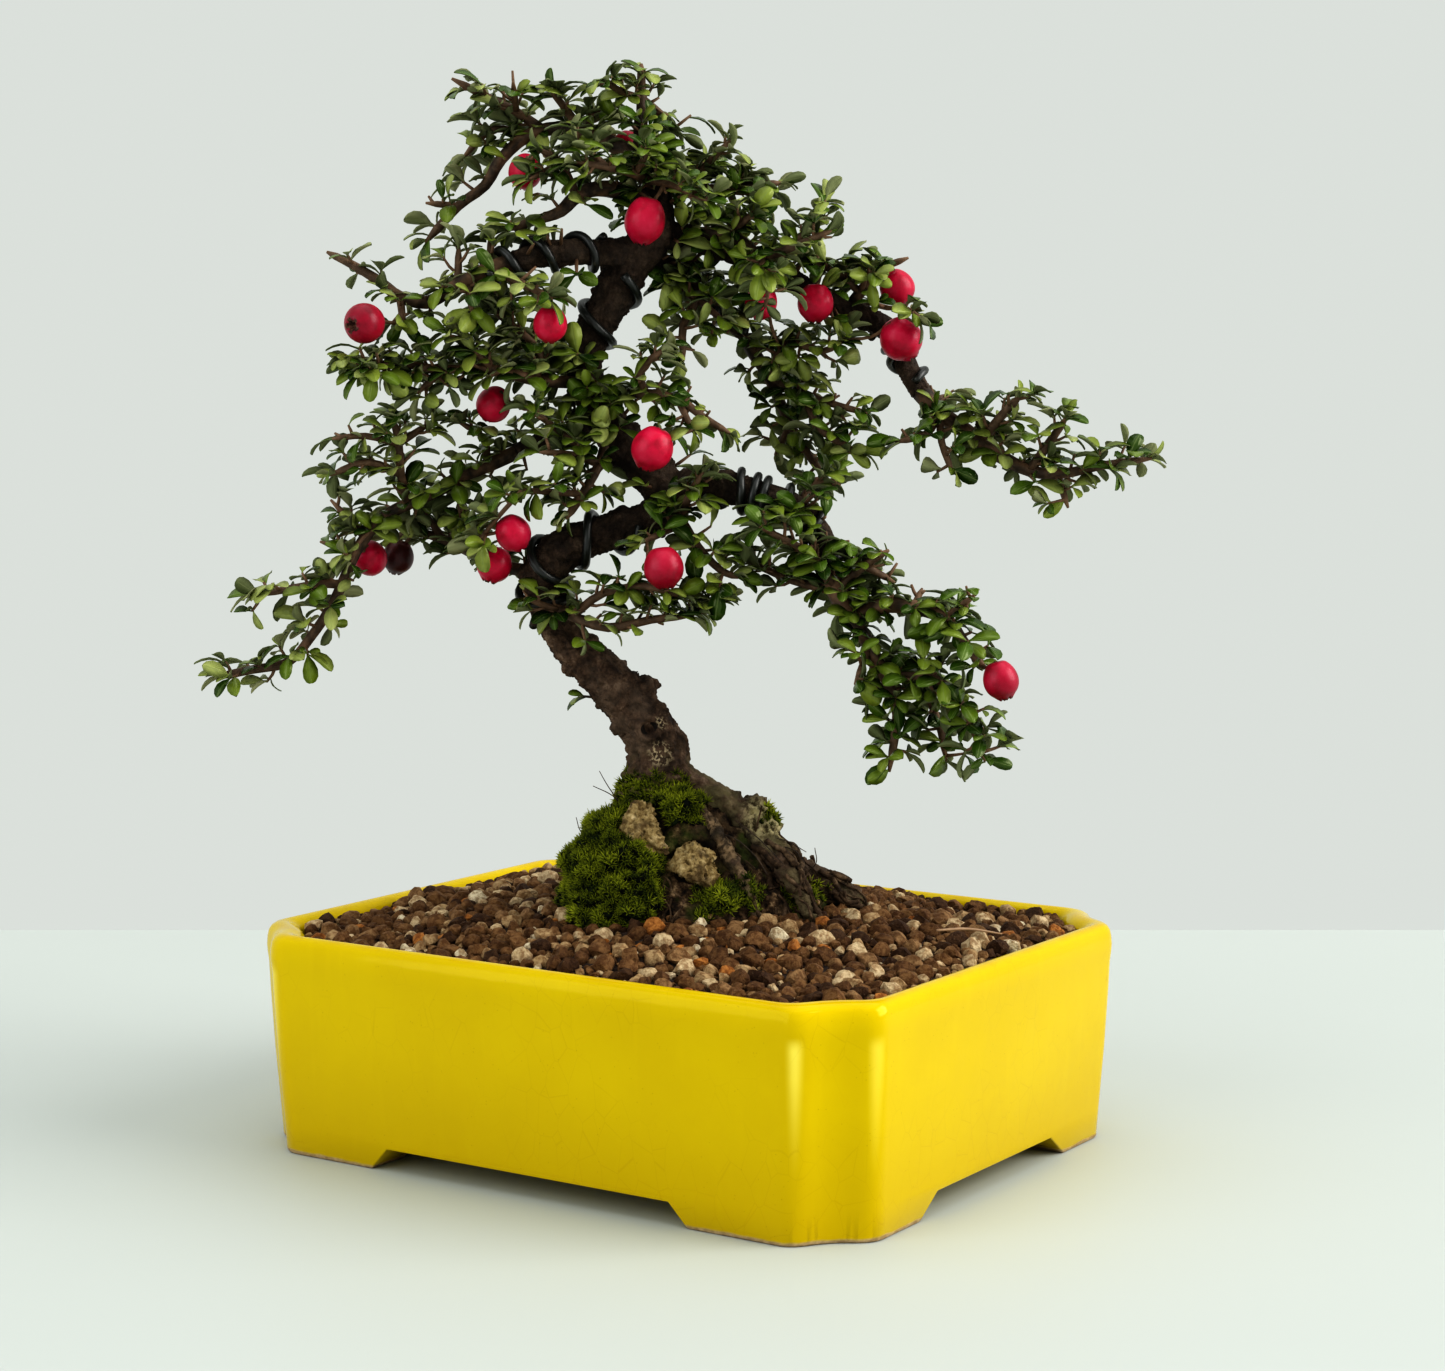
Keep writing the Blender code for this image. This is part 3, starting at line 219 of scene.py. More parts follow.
# %% [markdown]
# ## Hands for modelling
# Each piece starts from a primitive or a curve. Before an operator works, everything else is
# deselected, because an operator changes all that is selected. A finished piece keeps its
# object at the origin with its place in its mesh, just as the solids do.


# %% Small helpers
def only(*pieces):
    """Select just these pieces and make the first one active."""
    bpy.ops.object.select_all(action="DESELECT")
    for piece in pieces:
        piece.select_set(True)
    bpy.context.view_layer.objects.active = pieces[0]


def named(name):
    """The piece that the last operator made, with a name."""
    piece = bpy.context.object
    piece.name = name
    piece.data.name = name
    return piece


def share(value):
    """The value kept between 0 and 1."""
    return max(0.0, min(1.0, value))


def primitive(add, name, **settings):
    """Add a primitive by its operator, with nothing else selected."""
    bpy.ops.object.select_all(action="DESELECT")
    add(**settings)
    return named(name)


def edit_all(piece, *steps):
    """Select all of a piece's mesh and run operators on it: pairs of an operator and its settings."""
    only(piece)
    bpy.ops.object.mode_set(mode="EDIT")
    bpy.ops.mesh.select_all(action="SELECT")
    for operator, settings in steps:
        operator(**settings)
    bpy.ops.object.mode_set(mode="OBJECT")


def settle(piece):
    """Put the piece's place, turn and scale in its mesh."""
    only(piece)
    bpy.ops.object.transform_apply(location=True, rotation=True, scale=True)
    return piece


def modifier(piece, kind, **settings):
    """Add a modifier and apply it."""
    only(piece)
    added = piece.modifiers.new(kind.title(), kind)
    for key, value in settings.items():
        setattr(added, key, value)
    bpy.ops.object.modifier_apply(modifier=added.name)


def dress(piece, material, slot, *nodes):
    """Give a piece its material, let it ride, and hide the solids it stands for."""
    piece.data.materials.clear()
    piece.data.materials.append(material)
    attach(piece, "root")
    if nodes:
        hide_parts(*nodes)
    return piece


def smooth(piece, angle=None):
    """Shade smooth, all over or up to an angle in degrees."""
    only(piece)
    if angle is None:
        bpy.ops.object.shade_smooth()
    else:
        bpy.ops.object.shade_smooth_by_angle(angle=math.radians(angle))
    return piece


def vertex_rows(mesh, kind):
    """The places ("co") or normals ("normal") of a mesh's vertices as rows of numbers."""
    rows = np.empty(len(mesh.vertices) * 3)
    mesh.vertices.foreach_get(kind, rows)
    return rows.reshape(-1, 3)


def set_vertex_places(mesh, spots):
    mesh.vertices.foreach_set("co", np.asarray(spots, float).ravel())
    mesh.update()


def copy_of_solid(node, name):
    """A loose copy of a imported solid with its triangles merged."""
    piece = linked(name, nodes[node].data.copy())
    edit_all(piece, (bpy.ops.mesh.remove_doubles, {"threshold": 0.00001}))
    return piece


def push_out(piece, amount):
    """Move every vertex along its normal by amount(place in the tree) millimetres, and shade smooth."""
    mesh = piece.data
    spots, normals = vertex_rows(mesh, "co"), vertex_rows(mesh, "normal")
    moves = np.array([amount(TO_TREE @ Vector(spot)) * MM for spot in spots])
    set_vertex_places(mesh, spots + normals * moves[:, None])
    return smooth(piece)


# %% [markdown]
# ## The pot
# The real pot was pressed or cast in stoneware, fired, glazed and fired again, so its corners
# and rim are soft. Its glaze is darker towards the foot. A flat face of the outline is
# extruded up through the wall's section, over the rim and down inside. A box with bevelled
# corners would be quicker, but the soft rim is what catches the light, so the section leads.
# The arches between the feet and the recess under the floor are cut out, and their edges are
# rounded off.

# %% Pot measures, the same as the solid's
POT_LENGTH, POT_DEPTH, POT_HEIGHT = 0.140, 0.112, 0.0427
FOOT_HEIGHT = 0.0043
FLOOR_TOP = 0.0083
CORNER_CUT = 0.0107
CORNER_VALLEY = 0.61
ROUND_STEPS = 8
# The wall's section: distance in from the rim's outer face, and height
WALL = [
    (0.0022, 0.0), (0.0019, 0.0004), (0.0016, 0.0060), (0.0009, 0.0180), (0.0004, 0.0300),
    (0.00025, 0.0350), (0.00005, 0.0372), (0.0, 0.0385), (0.0001, 0.0400), (0.0003, 0.0412),
    (0.0007, 0.0420), (0.0013, 0.0425), (0.0021, POT_HEIGHT), (0.0029, 0.04255), (0.0036, 0.0421),
    (0.0042, 0.0413), (0.0045, 0.0402), (0.0046, 0.0385), (0.0051, 0.0240), (0.0056, 0.0098),
    (0.0060, 0.0087), (0.0068, FLOOR_TOP)]


def pot_outline(inset, z):
    """Outline of the pot with its indented corners, rounded with many small steps."""
    half_x, half_y = POT_LENGTH / 2 - inset, POT_DEPTH / 2 - inset
    valley = CORNER_CUT * CORNER_VALLEY
    corner = [(CORNER_CUT, 0.0, 0.0030), (valley, valley, 0.0035), (0.0, CORNER_CUT, 0.0030)]
    points = []
    for sign_x, sign_y in ((1, -1), (1, 1), (-1, 1), (-1, -1)):
        for dx, dy, soft in corner if sign_x * sign_y < 0 else corner[::-1]:
            points.append((Vector((sign_x * (half_x - dx), sign_y * (half_y - dy))), soft))
    outline = []
    for i, (here, soft) in enumerate(points):
        start = here + (points[i - 1][0] - here).normalized() * soft
        end = here + (points[(i + 1) % len(points)][0] - here).normalized() * soft
        for step in range(ROUND_STEPS):
            t = step / (ROUND_STEPS - 1)
            spot = (1 - t) ** 2 * start + 2 * t * (1 - t) * here + t ** 2 * end
            outline.append((spot.x, spot.y, z))
    return outline


# %% Extrude the wall
first_ring = pot_outline(*WALL[0])
pot = primitive(bpy.ops.mesh.primitive_circle_add, "glazed_pot", vertices=len(first_ring), fill_type="NGON")
set_vertex_places(pot.data, first_ring)
for inset, z in WALL[1:]:
    only(pot)
    bpy.ops.object.mode_set(mode="EDIT")
    if (inset, z) == WALL[1]:
        bpy.ops.mesh.select_all(action="SELECT")
    bpy.ops.mesh.extrude_region_move()
    bpy.ops.object.mode_set(mode="OBJECT")
    ring = [v.index for v in pot.data.vertices if v.select]
    for index, spot in zip(ring, pot_outline(inset, z)):
        pot.data.vertices[index].co = spot
print("pot ring points:", len(ring), "levels:", len(WALL))


# %% Cut the arches, the recess and the drain holes
def cutter_block(length, width, spread=(0.0, 0.0)):
    """A block over the foot's height whose lower end is wider by the spread."""
    block = settle(primitive(bpy.ops.mesh.primitive_cube_add, "block", size=1.0,
                             scale=(length, width, 2 * FOOT_HEIGHT)))
    for vert in block.data.vertices:
        if vert.co.z < 0:
            vert.co.x += math.copysign(spread[0], vert.co.x)
            vert.co.y += math.copysign(spread[1], vert.co.y)
    return block


THROUGH = 2 * POT_LENGTH
LONG_ARCH, SHORT_ARCH = 0.064, 0.044
RECESS = (0.1162, 0.0882)
DRAIN_RADIUS, DRAIN_PLACE = 0.0045, 0.028
cutters = [cutter_block(LONG_ARCH, THROUGH, (0.008, 0)),
           cutter_block(THROUGH, SHORT_ARCH, (0, 0.012)),
           cutter_block(*RECESS)]
for x in (-DRAIN_PLACE, DRAIN_PLACE):
    drain = primitive(bpy.ops.mesh.primitive_cylinder_add, "drain", vertices=40, radius=DRAIN_RADIUS,
                      depth=4 * FLOOR_TOP, location=(x, 0, 0))
    cutters.append(settle(drain))
for cutter in cutters:
    modifier(pot, "BOOLEAN", operation="DIFFERENCE", object=cutter)
    bpy.data.objects.remove(cutter)
modifier(pot, "BEVEL", width=0.0006, segments=3, limit_method="ANGLE", angle_limit=math.radians(42))
smooth(pot, 40)
print("pot triangles:", sum(len(p.vertices) - 2 for p in pot.data.polygons))

# %% [markdown]
# ## Yellow glaze
# Up close the glaze isn't one yellow. It is thinner and warmer where it ran off the edges,
# slightly cloudy on the flats, sprinkled with pin-prick specks, crossed by a hairline crackle,
# and it stops short of the foot, where the tan clay is bare. One flat colour would look like
# plastic. So a base tone is made first, and each of these effects is mixed over it by a mask.
# The yellow is also darker towards the bottom, and the lighter streaks on the ridges beside
# each corner are painted highlights.

# %% Glaze material
glaze = Look("yellow_glaze", Specular_IOR_Level=0.35, Specular_Tint=(1.0, 0.91, 0.22, 1.0))
cloud = glaze.noise(38.0, 4.0)
streak = glaze.noise(300.0, 2.0, place=glaze.place((1, 1, 0.12)))
yellow = glaze.mix(glaze.rise(cloud, 0.30, 0.72), (0.605, 0.440, 0.0), (0.640, 0.475, 0.0))
yellow = glaze.mix(glaze.rise(streak, 0.55, 0.75) * 0.12, yellow, (0.72, 0.55, 0.002))
# Darker towards the bottom
darker_low = 1 - glaze.rise(glaze.height(), 0.002, 0.028)
yellow = glaze.mix(darker_low * 0.55, yellow, (0.500, 0.345, 0.0))
# Painted highlights: lighter streaks on the ridges beside each corner, found from above
half_length, half_depth = POT_LENGTH / 2, POT_DEPTH / 2
from_above = glaze.vector("MULTIPLY", glaze.spot(), (1, 1, 0))
folded = glaze.vector("ABSOLUTE", from_above)
ridge_highlight = 0.0
for ridge in ((half_length - CORNER_CUT, half_depth, 0), (half_length, half_depth - CORNER_CUT, 0)):
    far = glaze.vector("DISTANCE", folded, ridge, out=1)
    ridge_highlight = 1 - glaze.rise(far, 0.0007, 0.0026) + ridge_highlight
ridge_highlight = ridge_highlight * glaze.rise(glaze.height(), 0.003, 0.014) * (1 - glaze.rise(glaze.height(), 0.0345, 0.0375))
yellow = glaze.mix(ridge_highlight * 0.62, yellow, (0.90, 0.74, 0.10))
# Painted highlight: the ridge that faces the front is lighter still
far = glaze.vector("DISTANCE", from_above, (half_length - CORNER_CUT, -half_depth, 0), out=1)
front_ridge_highlight = 1 - glaze.rise(far, 0.0006, 0.0022)
yellow = glaze.mix(front_ridge_highlight * ridge_highlight * 0.75, yellow, (1.0, 0.86, 0.16))
specks = 1 - glaze.rise(glaze.cells(900.0), 0.05, 0.13)
speck_mask = specks * glaze.rise(glaze.noise(260.0, 1.0), 0.52, 0.60)
yellow = glaze.mix(speck_mask * 0.45, yellow, (0.30, 0.17, 0.002))
crackle = 1 - glaze.rise(glaze.cells(240.0, "DISTANCE_TO_EDGE", glaze.place((1, 1, 0.6))), 0.0, 0.020)
crackle = crackle * glaze.rise(glaze.noise(45.0, 2.0), 0.42, 0.62)
yellow = glaze.mix(crackle * 0.16, yellow, (0.34, 0.20, 0.002))
smudges = glaze.near((5.5, -74.0, 25.0), 2.6) + glaze.near((15.0, -69.0, 25.5), 1.6)
yellow = glaze.mix(smudges * glaze.rise(glaze.noise(420.0), 0.45, 0.65) * 0.5, yellow, (0.22, 0.17, 0.03))
rim = glaze.rise(glaze.height(), 0.0418, POT_HEIGHT) * glaze.rise(glaze.noise(150.0), 0.40, 0.65)
yellow = glaze.mix(rim * 0.35, yellow, (0.52, 0.30, 0.004))
foot = 1 - glaze.rise(glaze.height() + glaze.noise(160.0) * 0.0012, 0.0011, 0.0017)
clay_grain = glaze.noise(900.0, 3.0)
clay = glaze.ramp(clay_grain, [(0.3, (0.30, 0.20, 0.11)), (0.7, (0.50, 0.37, 0.22))])
wear = glaze.rise(glaze.noise(90.0), 0.45, 0.8)
ripple = glaze.noise(190.0, 2.0) * 0.8 + clay_grain * foot * 0.6 - crackle * 0.08
glaze_material = glaze.end(Base_Color=glaze.mix(foot, yellow, clay),
                           Roughness=0.10 + foot * 0.65 + wear * 0.06 + crackle * 0.08,
                           Normal=glaze.bump(ripple, 0.00025, 0.35))
dress(pot, glaze_material, "yellow_glaze", "pot")

# %% [markdown]
# ## The tree's skeleton
# A bonsai is described by its lines: where the trunk turns, where each branch leaves it, and
# how thick it is there. These lists repeat the solids' own centre lines as (x, y, z, radius),
# or as a twig's points with its first and last radius.

# %% Wood that grew as one piece
TRUNK = [(-7, 0, 62, 8.2), (-6.5, 0, 67.5, 7.3), (-6, 0, 73, 6.1), (-6.2, -0.5, 77.5, 5.5),
         (-9.6, -1, 83, 4.9), (-13.2, -1.5, 87.5, 4.6), (-18.4, -2, 93, 4.2), (-22.8, -2.5, 97.5, 3.8),
         (-25.3, -3, 102, 3.8), (-27.2, -4, 106, 3.9), (-27.8, -5, 110, 4.0), (-26, -6, 114, 4.0),
         (-21.5, -6, 117, 3.7), (-15.5, -5, 119, 3.4), (-9, -3.5, 120.5, 3.6), (-4.5, -1.5, 124, 3.9),
         (-6, -0.5, 129, 4.2), (-10.5, 0, 133.5, 4.1), (-14.5, 0, 138, 3.9), (-17.5, 0, 143, 3.6),
         (-20, 0, 150, 3.4), (-18.5, 0, 156.5, 3.4), (-15.5, 0, 162, 3.6), (-11.5, 0, 169.5, 4.0),
         (-8, 0, 174, 3.9), (-6, 1, 178.5, 3.3), (-6.5, 1.5, 184, 2.7), (-8, 2, 189, 2.1),
         (-9, 2.5, 194, 1.6), (-9, 3, 199, 1.2)]
BRANCHES = {
    "left_upper": [(-9, -1, 172.5, 2.5), (-15, -4, 172, 2.4), (-20.5, -7, 172, 2.4), (-27, -10, 171.5, 2.3),
                   (-32.5, -12, 170, 2.1)],
    "right_lower": [(-6, 0, 126.5, 2.9), (0.5, -3, 128, 2.9), (5.5, -6, 128, 3.0), (10, -8, 127, 2.9),
                    (15, -9, 125.5, 2.8), (19.5, -10, 124, 2.7), (23, -11, 121, 2.6), (25.5, -12, 117, 2.5),
                    (26.5, -13, 112.5, 2.4)],
    "right_upper": [(-7, 1, 175.5, 2.6), (0.5, 4, 175, 2.5), (9, 7, 172.5, 2.4), (17.5, 10, 168.5, 2.3),
                    (25.5, 13, 164, 2.3), (32.5, 15, 161, 2.4), (38, 16, 158.5, 2.3), (41.5, 16, 154.5, 2.2),
                    (43, 15, 150, 2.1), (45.5, 13, 145.5, 2.0)],
    "right_hang": [(-9.5, 1, 170.5, 2.1), (-4, 6, 170, 1.9), (0.5, 9, 168, 1.8), (3.5, 12, 163.5, 1.7),
                   (7.5, 14, 160, 1.7), (10.5, 16, 157, 1.6)],
    "far_left": [(-16, 1, 138.5, 1.9), (-23, 5, 137.5, 1.8), (-28, 5, 136.5, 1.7), (-33.5, 4, 134, 1.6)],
}
ROOTS = {
    "root_right": [(-5, -2, 73, 4.1), (-1, -3, 70.6, 3.4), (4, -4, 67.9, 3.1), (8.5, -5, 65, 3.1),
                   (12.5, -6, 61, 3.4), (16, -7, 57, 3.2), (20, -7, 54, 2.9), (25, -6, 51.5, 2.5),
                   (30, -5, 49, 2.1), (34, -4, 44.5, 1.6)],
    "root_front": [(-4, -6, 69, 2.2), (1.5, -9.5, 66.5, 1.4), (5.5, -12.5, 61.5, 1.3), (8.8, -15.2, 56, 1.2),
                   (11.5, -17, 51, 1.1), (13.5, -19.5, 44.5, 1.0)],
    "root_side": [(12, -6, 61, 2.4), (17, -11, 56.5, 1.7), (21, -15, 51, 1.3), (24, -18, 45, 1.1)],
    "root_back": [(-3, 3, 70, 4.0), (1, 9, 65, 3.0), (5, 14, 59, 2.5), (8, 18.5, 52, 2.0),
                  (10, 22, 44.5, 1.5)],
}
# Burrs and stubs: centre and radius
KNOBS = [(-8.6, -1.5, 88.4, 2.3), (-22.8, -2.5, 92.6, 1.7), (12.8, -4.5, 65.6, 2.6), (-2.6, -1.5, 78.5, 2.2),
         (-13.6, -3.0, 81.4, 1.7), (-26.0, -8.2, 117.0, 1.9), (14.2, -5.0, 61.8, 3.2)]
# The left upper branch goes on as a wired twig
LEFT_UPPER = [*BRANCHES["left_upper"],
              (-37, -13, 168.5, 1.9), (-41, -13, 166.5, 1.7), (-45, -12, 164.5, 1.5), (-49, -11, 162.5, 1.4)]

# %% Leafy sprays, each a list of twigs
SPRAYS = {
    "spray_crown_left": [
        ([(-8, 1.5, 187), (-13, 3, 192), (-19, 4.5, 194.5), (-25, 5, 196), (-31, 5, 194.5), (-36, 4, 190),
          (-39, 3, 185), (-44, 1, 181), (-50, -2, 174)], 1.9, 0.9),
        ([(-44, 1, 181), (-50, -1, 181.5)], 0.8, 0.6),
        ([(-28, 5, 195.7), (-33, 4, 199), (-38, 3, 201.5), (-45, 1, 205)], 1.1, 0.7),
        ([(-33, 4, 199), (-33, -4, 204)], 0.7, 0.6),
        ([(-31, 5, 194.5), (-38, 8, 196), (-44, 8, 190)], 0.9, 0.6),
        ([(-20, 4.6, 194.8), (-23.5, 1, 199.5), (-26, -2, 202.5)], 0.9, 0.6),
        ([(-20, 4.6, 194.8), (-18, 8, 200)], 0.8, 0.6)],
    "spray_crown_top": [
        ([(-9, 3, 198.5), (-9, 3, 203.5), (-9, 3, 208)], 1.1, 0.8),
        ([(-9, 3, 201.5), (-13, -1, 202.5), (-16, -4, 204.5)], 0.7, 0.6),
        ([(-9, 3, 201.5), (-5.5, 7, 199), (-1.5, 9, 195)], 0.8, 0.6)],
    "spray_crown_front": [
        ([(-7, -1, 185), (-10, -8, 186.5), (-15, -13, 187.5), (-21, -16, 188)], 1.1, 0.6),
        ([(-10, -8, 186.5), (-7, -12, 191)], 0.7, 0.6),
        ([(-15, -13, 187.5), (-21, -11, 192.5)], 0.7, 0.6),
        ([(-8.5, -4.5, 185.7), (-3, -9, 184.5), (1, -14, 182.5), (4, -18, 181)], 0.9, 0.6)],
    "spray_crown_low": [
        ([(-7, 1, 182), (-12, -2, 183.5), (-17, -4.5, 184), (-21, -6, 182.5), (-24, -8, 179.5),
          (-28, -9, 178), (-34, -10, 176)], 2.1, 0.8),
        ([(-21, -6, 182.5), (-24, -8, 188.5), (-28, -9, 191)], 0.9, 0.6),
        ([(-24, -8, 188.5), (-30, -11, 185)], 0.7, 0.6)],
    "spray_crown_right": [
        ([(-6, 3, 184), (0, 6, 184.5), (6, 8, 184.5), (13, 10, 185.5), (18, 11, 186)], 1.6, 0.7),
        ([(0, 6, 184.5), (3, 5, 188.5), (8.5, 3, 194)], 0.9, 0.6),
        ([(6, 8, 184.5), (12, 14, 187.5)], 0.8, 0.6),
        ([(6, 8, 184.5), (12, 3, 183.5)], 0.8, 0.6),
        ([(0, 6, 184.5), (-4, 12, 188), (-12, 17, 191)], 0.9, 0.6),
        ([(-4, 12, 188), (1, 18, 190)], 0.8, 0.6)],
    "spray_right_shoulder": [
        ([(0, 2, 176), (8, -2, 175.5), (14, -5, 171.5), (20, -7, 173), (27, -9, 176)], 1.3, 0.7),
        ([(20, -7, 173), (23, -4, 177), (26, -2, 182)], 0.8, 0.6),
        ([(8, -2, 175.5), (13, -7, 180)], 0.8, 0.6),
        ([(14, -5, 171.5), (14, -11, 168.5)], 0.7, 0.6)],
    "spray_right_upper_bud": [
        ([(32, 14, 163), (35, 12, 167), (37.5, 10, 169.5), (42.5, 8, 171.5)], 1.2, 0.6),
        ([(35, 12, 167), (31, 17, 170)], 0.7, 0.6),
        ([(33.5, 13, 165), (28, 10, 169), (23, 8, 171)], 0.8, 0.6)],
    "spray_right_upper_end": [
        ([(45.5, 13, 145.5), (49, 10, 141.5), (54, 8, 138), (60, 5, 133.5), (66, 3, 130.5), (72, 1, 130),
          (79, 0, 131.5), (89, -1, 133)], 1.9, 0.7),
        ([(57, 6.5, 136), (60, 4, 140.5), (64, 2, 145)], 1.0, 0.8),
        ([(66, 3, 130.5), (69, 0, 135.5), (72.5, -2, 141)], 1.0, 0.7),
        ([(71, 1.3, 130.1), (73, -1, 123.5)], 0.8, 0.6),
        ([(57, 6.5, 136), (63, 14, 137)], 0.8, 0.6),
        ([(49, 10, 141.5), (46, 6, 137.5), (40, 4, 136)], 0.9, 0.6),
        ([(49, 10, 141.5), (49, 5, 136), (51, 2, 130)], 0.8, 0.6),
        ([(47, 12, 143.5), (52, 21, 145)], 0.9, 0.6)],
    "spray_right_hang": [
        ([(11, 16, 156.5), (12.5, 17, 153.5), (15.5, 18, 149), (17.5, 19, 144.5), (20, 19, 139),
          (23, 19, 134), (26.5, 18, 129)], 1.5, 0.7),
        ([(20, 19, 139), (17, 23, 133)], 0.8, 0.6),
        ([(15.5, 18, 149), (22, 14, 145.5), (29, 10, 143), (35, 8, 141.5)], 1.0, 0.6),
        ([(22, 14, 145.5), (26, 11, 138), (33, 9, 134)], 0.8, 0.6),
        ([(12.5, 17, 153.5), (19, 13, 155.5), (26, 9, 153.5), (30, 7, 156)], 0.9, 0.6),
        ([(19, 13, 155.5), (16, 8, 151)], 0.7, 0.6)],
    "spray_right_drop": [
        ([(0, 7, 168), (1.5, 3, 163.5), (-1, -1, 158.5), (-1, -3, 151.5)], 1.0, 0.7),
        ([(1.5, 3, 163.5), (-4, 1, 166)], 0.7, 0.6),
        ([(1.5, 3, 163.5), (7, -1, 159)], 0.7, 0.6)],
    "spray_centre_right": [
        ([(-15, -2, 145), (-8, -8, 145.5), (-2, -11, 144.5), (3, -13, 141), (8, -14, 138)], 1.1, 0.6),
        ([(-8, -8, 145.5), (-9, -11, 150), (-4, -13, 154)], 0.8, 0.6),
        ([(-2, -11, 144.5), (1, -15, 138.5)], 0.7, 0.6)],
    "spray_right_lower": [
        ([(26.5, -13, 112.5), (28.5, -15, 107.5), (31, -17, 103.5), (36, -19, 106), (42, -22, 106),
          (48, -24, 104), (51, -26, 100), (55, -27, 95)], 2.2, 0.8),
        ([(48, -24, 104), (53, -29, 109)], 0.8, 0.6),
        ([(42, -22, 106), (44, -16, 109)], 0.8, 0.6),
        ([(30, -16.2, 105.1), (34, -20, 98.5), (37, -22, 92.5), (39, -23, 86), (37.5, -25, 75.5)], 1.5, 0.7),
        ([(37, -22, 92.5), (43, -18, 91.5), (47, -16, 84.5), (49, -14, 76)], 0.9, 0.6),
        ([(36.7, -21.8, 93.2), (46, -26, 93), (51, -27, 88), (55, -29, 78)], 0.9, 0.6),
        ([(34, -20, 98.5), (31, -26, 92)], 0.8, 0.6),
        ([(28, -14.5, 108.5), (33, -18, 113.5), (37.5, -20, 116.5)], 1.0, 0.7),
        ([(33, -18, 113.5), (39, -13, 110)], 0.8, 0.6),
        ([(28, -14.5, 108.5), (20, -9, 110), (11, -3, 113.5)], 1.0, 0.6),
        ([(28.5, -15, 107.5), (33, -5, 107.5), (35, 3, 105)], 1.0, 0.6),
        ([(28, -14.5, 108.5), (23, -18, 115.5), (13, -20, 121)], 0.9, 0.6)],
    "spray_right_lower_top": [
        ([(21, -9, 124.5), (24.5, -7, 129), (29, -6, 128)], 0.9, 0.6)],
    "spray_left_upper": [
        ([(-32.5, -12, 170), (-37, -13, 168.5), (-41, -13, 166.5), (-45, -12, 164.5), (-49, -11, 162.5),
          (-54, -11, 163.5), (-58, -10, 166.5), (-63, -9, 169.5), (-68, -8, 172)], 2.0, 0.7),
        ([(-54, -11, 163.5), (-53, -15, 158)], 0.8, 0.6),
        ([(-43, -12.5, 165.5), (-43, -10, 173.5)], 0.8, 0.6),
        ([(-37, -13, 168.5), (-37, -8, 176)], 0.8, 0.6),
        ([(-37, -13, 168.5), (-31, -18, 166), (-25, -20, 163)], 0.9, 0.6),
        ([(-39, -13, 167.5), (-37, -4, 166), (-38, 5, 164)], 0.9, 0.6),
        ([(-41, -13, 166.5), (-40, -17, 160)], 0.8, 0.6)],
    "spray_left_mid": [
        ([(-21, -3, 147.5), (-29, -8, 148), (-37, -11, 150), (-46, -13, 150), (-54, -15, 151),
          (-64, -17, 151)], 1.4, 0.6),
        ([(-37, -11, 150), (-43, -16, 157)], 0.8, 0.6),
        ([(-46, -13, 150), (-51, -10, 145.5)], 0.8, 0.6),
        ([(-54, -15, 151), (-60, -21, 150)], 0.7, 0.6),
        ([(-29, -8, 148), (-28, -9, 153), (-32, -11, 157.5), (-37, -9, 161)], 0.9, 0.6),
        ([(-29, -8, 148), (-28, 2, 151), (-31, 11, 153), (-38, 15, 152)], 1.0, 0.6),
        ([(-31, 11, 153), (-28, 17, 157)], 0.8, 0.6)],
    "spray_far_left": [
        ([(-33.5, 4, 134), (-39, 3, 131.5), (-44, 2, 129.5), (-48, 1, 127), (-53.5, 0, 124.5),
          (-57.5, -1, 122.5), (-60.5, -2, 120), (-64, -3, 115), (-66.5, -4, 109), (-69, -5, 104),
          (-72.5, -4.5, 99), (-77, -4, 94), (-84, -3.5, 92.5), (-91, -3, 91)], 1.6, 0.8),
        ([(-66.5, -4, 109), (-72, -5.5, 109), (-83, -7, 107)], 1.0, 0.7),
        ([(-62, -2.4, 118), (-69, 0, 125)], 0.8, 0.6),
        ([(-64, -3, 115), (-71, -1, 117)], 0.8, 0.6),
        ([(-54, -0.2, 124.3), (-55, -4, 130), (-55, -7, 136), (-56, -8, 141)], 1.0, 0.7),
        ([(-55, -7, 136), (-61, -10, 137.5), (-67, -12, 137)], 0.8, 0.6),
        ([(-55, -7, 136), (-49, -4, 140)], 0.8, 0.6),
        ([(-55, -4, 130), (-61, -7, 132.5), (-68, -9, 130)], 0.8, 0.7),
        ([(-39, 3, 131.5), (-39.5, 0, 137), (-44, -3, 140)], 0.8, 0.6),
        ([(-44, 2, 129.5), (-44, -1, 121.5)], 0.8, 0.6)],
    "spray_lower_left": [
        ([(-30, -5, 111.5), (-37, -1, 112.5), (-43, 4, 115), (-48, 7, 117), (-53, 10, 118), (-59, 12, 117)],
         1.4, 0.7),
        ([(-43, 4, 115), (-41, 1, 120)], 0.8, 0.6),
        ([(-48, 7, 117), (-52, 8, 122.5)], 0.8, 0.6)],
    "spray_centre_left": [
        ([(-15.5, -2, 137), (-17, -6, 132), (-20, -10, 126.5), (-23, -13, 122)], 1.2, 0.8),
        ([(-20, -10, 126.5), (-25, -13, 127), (-31, -16, 127.5)], 0.8, 0.6),
        ([(-17, -6, 132), (-22, -10, 134), (-28, -13, 134.5)], 0.8, 0.6),
        ([(-17, -6, 132), (-24, -8, 138), (-31, -9, 143.5)], 0.8, 0.6)],
    "spray_lower_centre": [
        ([(-27, -7, 105.5), (-22, -12, 103.5), (-15, -14, 101.5), (-7, -14, 103), (0, -14, 104),
          (7, -14, 107)], 1.1, 0.6),
        ([(-24, -10, 104.3), (-31, -13, 107)], 0.7, 0.6),
        ([(-22, -12, 103.5), (-16, -14, 108), (-8, -16, 109.5), (-1, -17, 107.5)], 0.9, 0.7)],
    "spray_centre": [
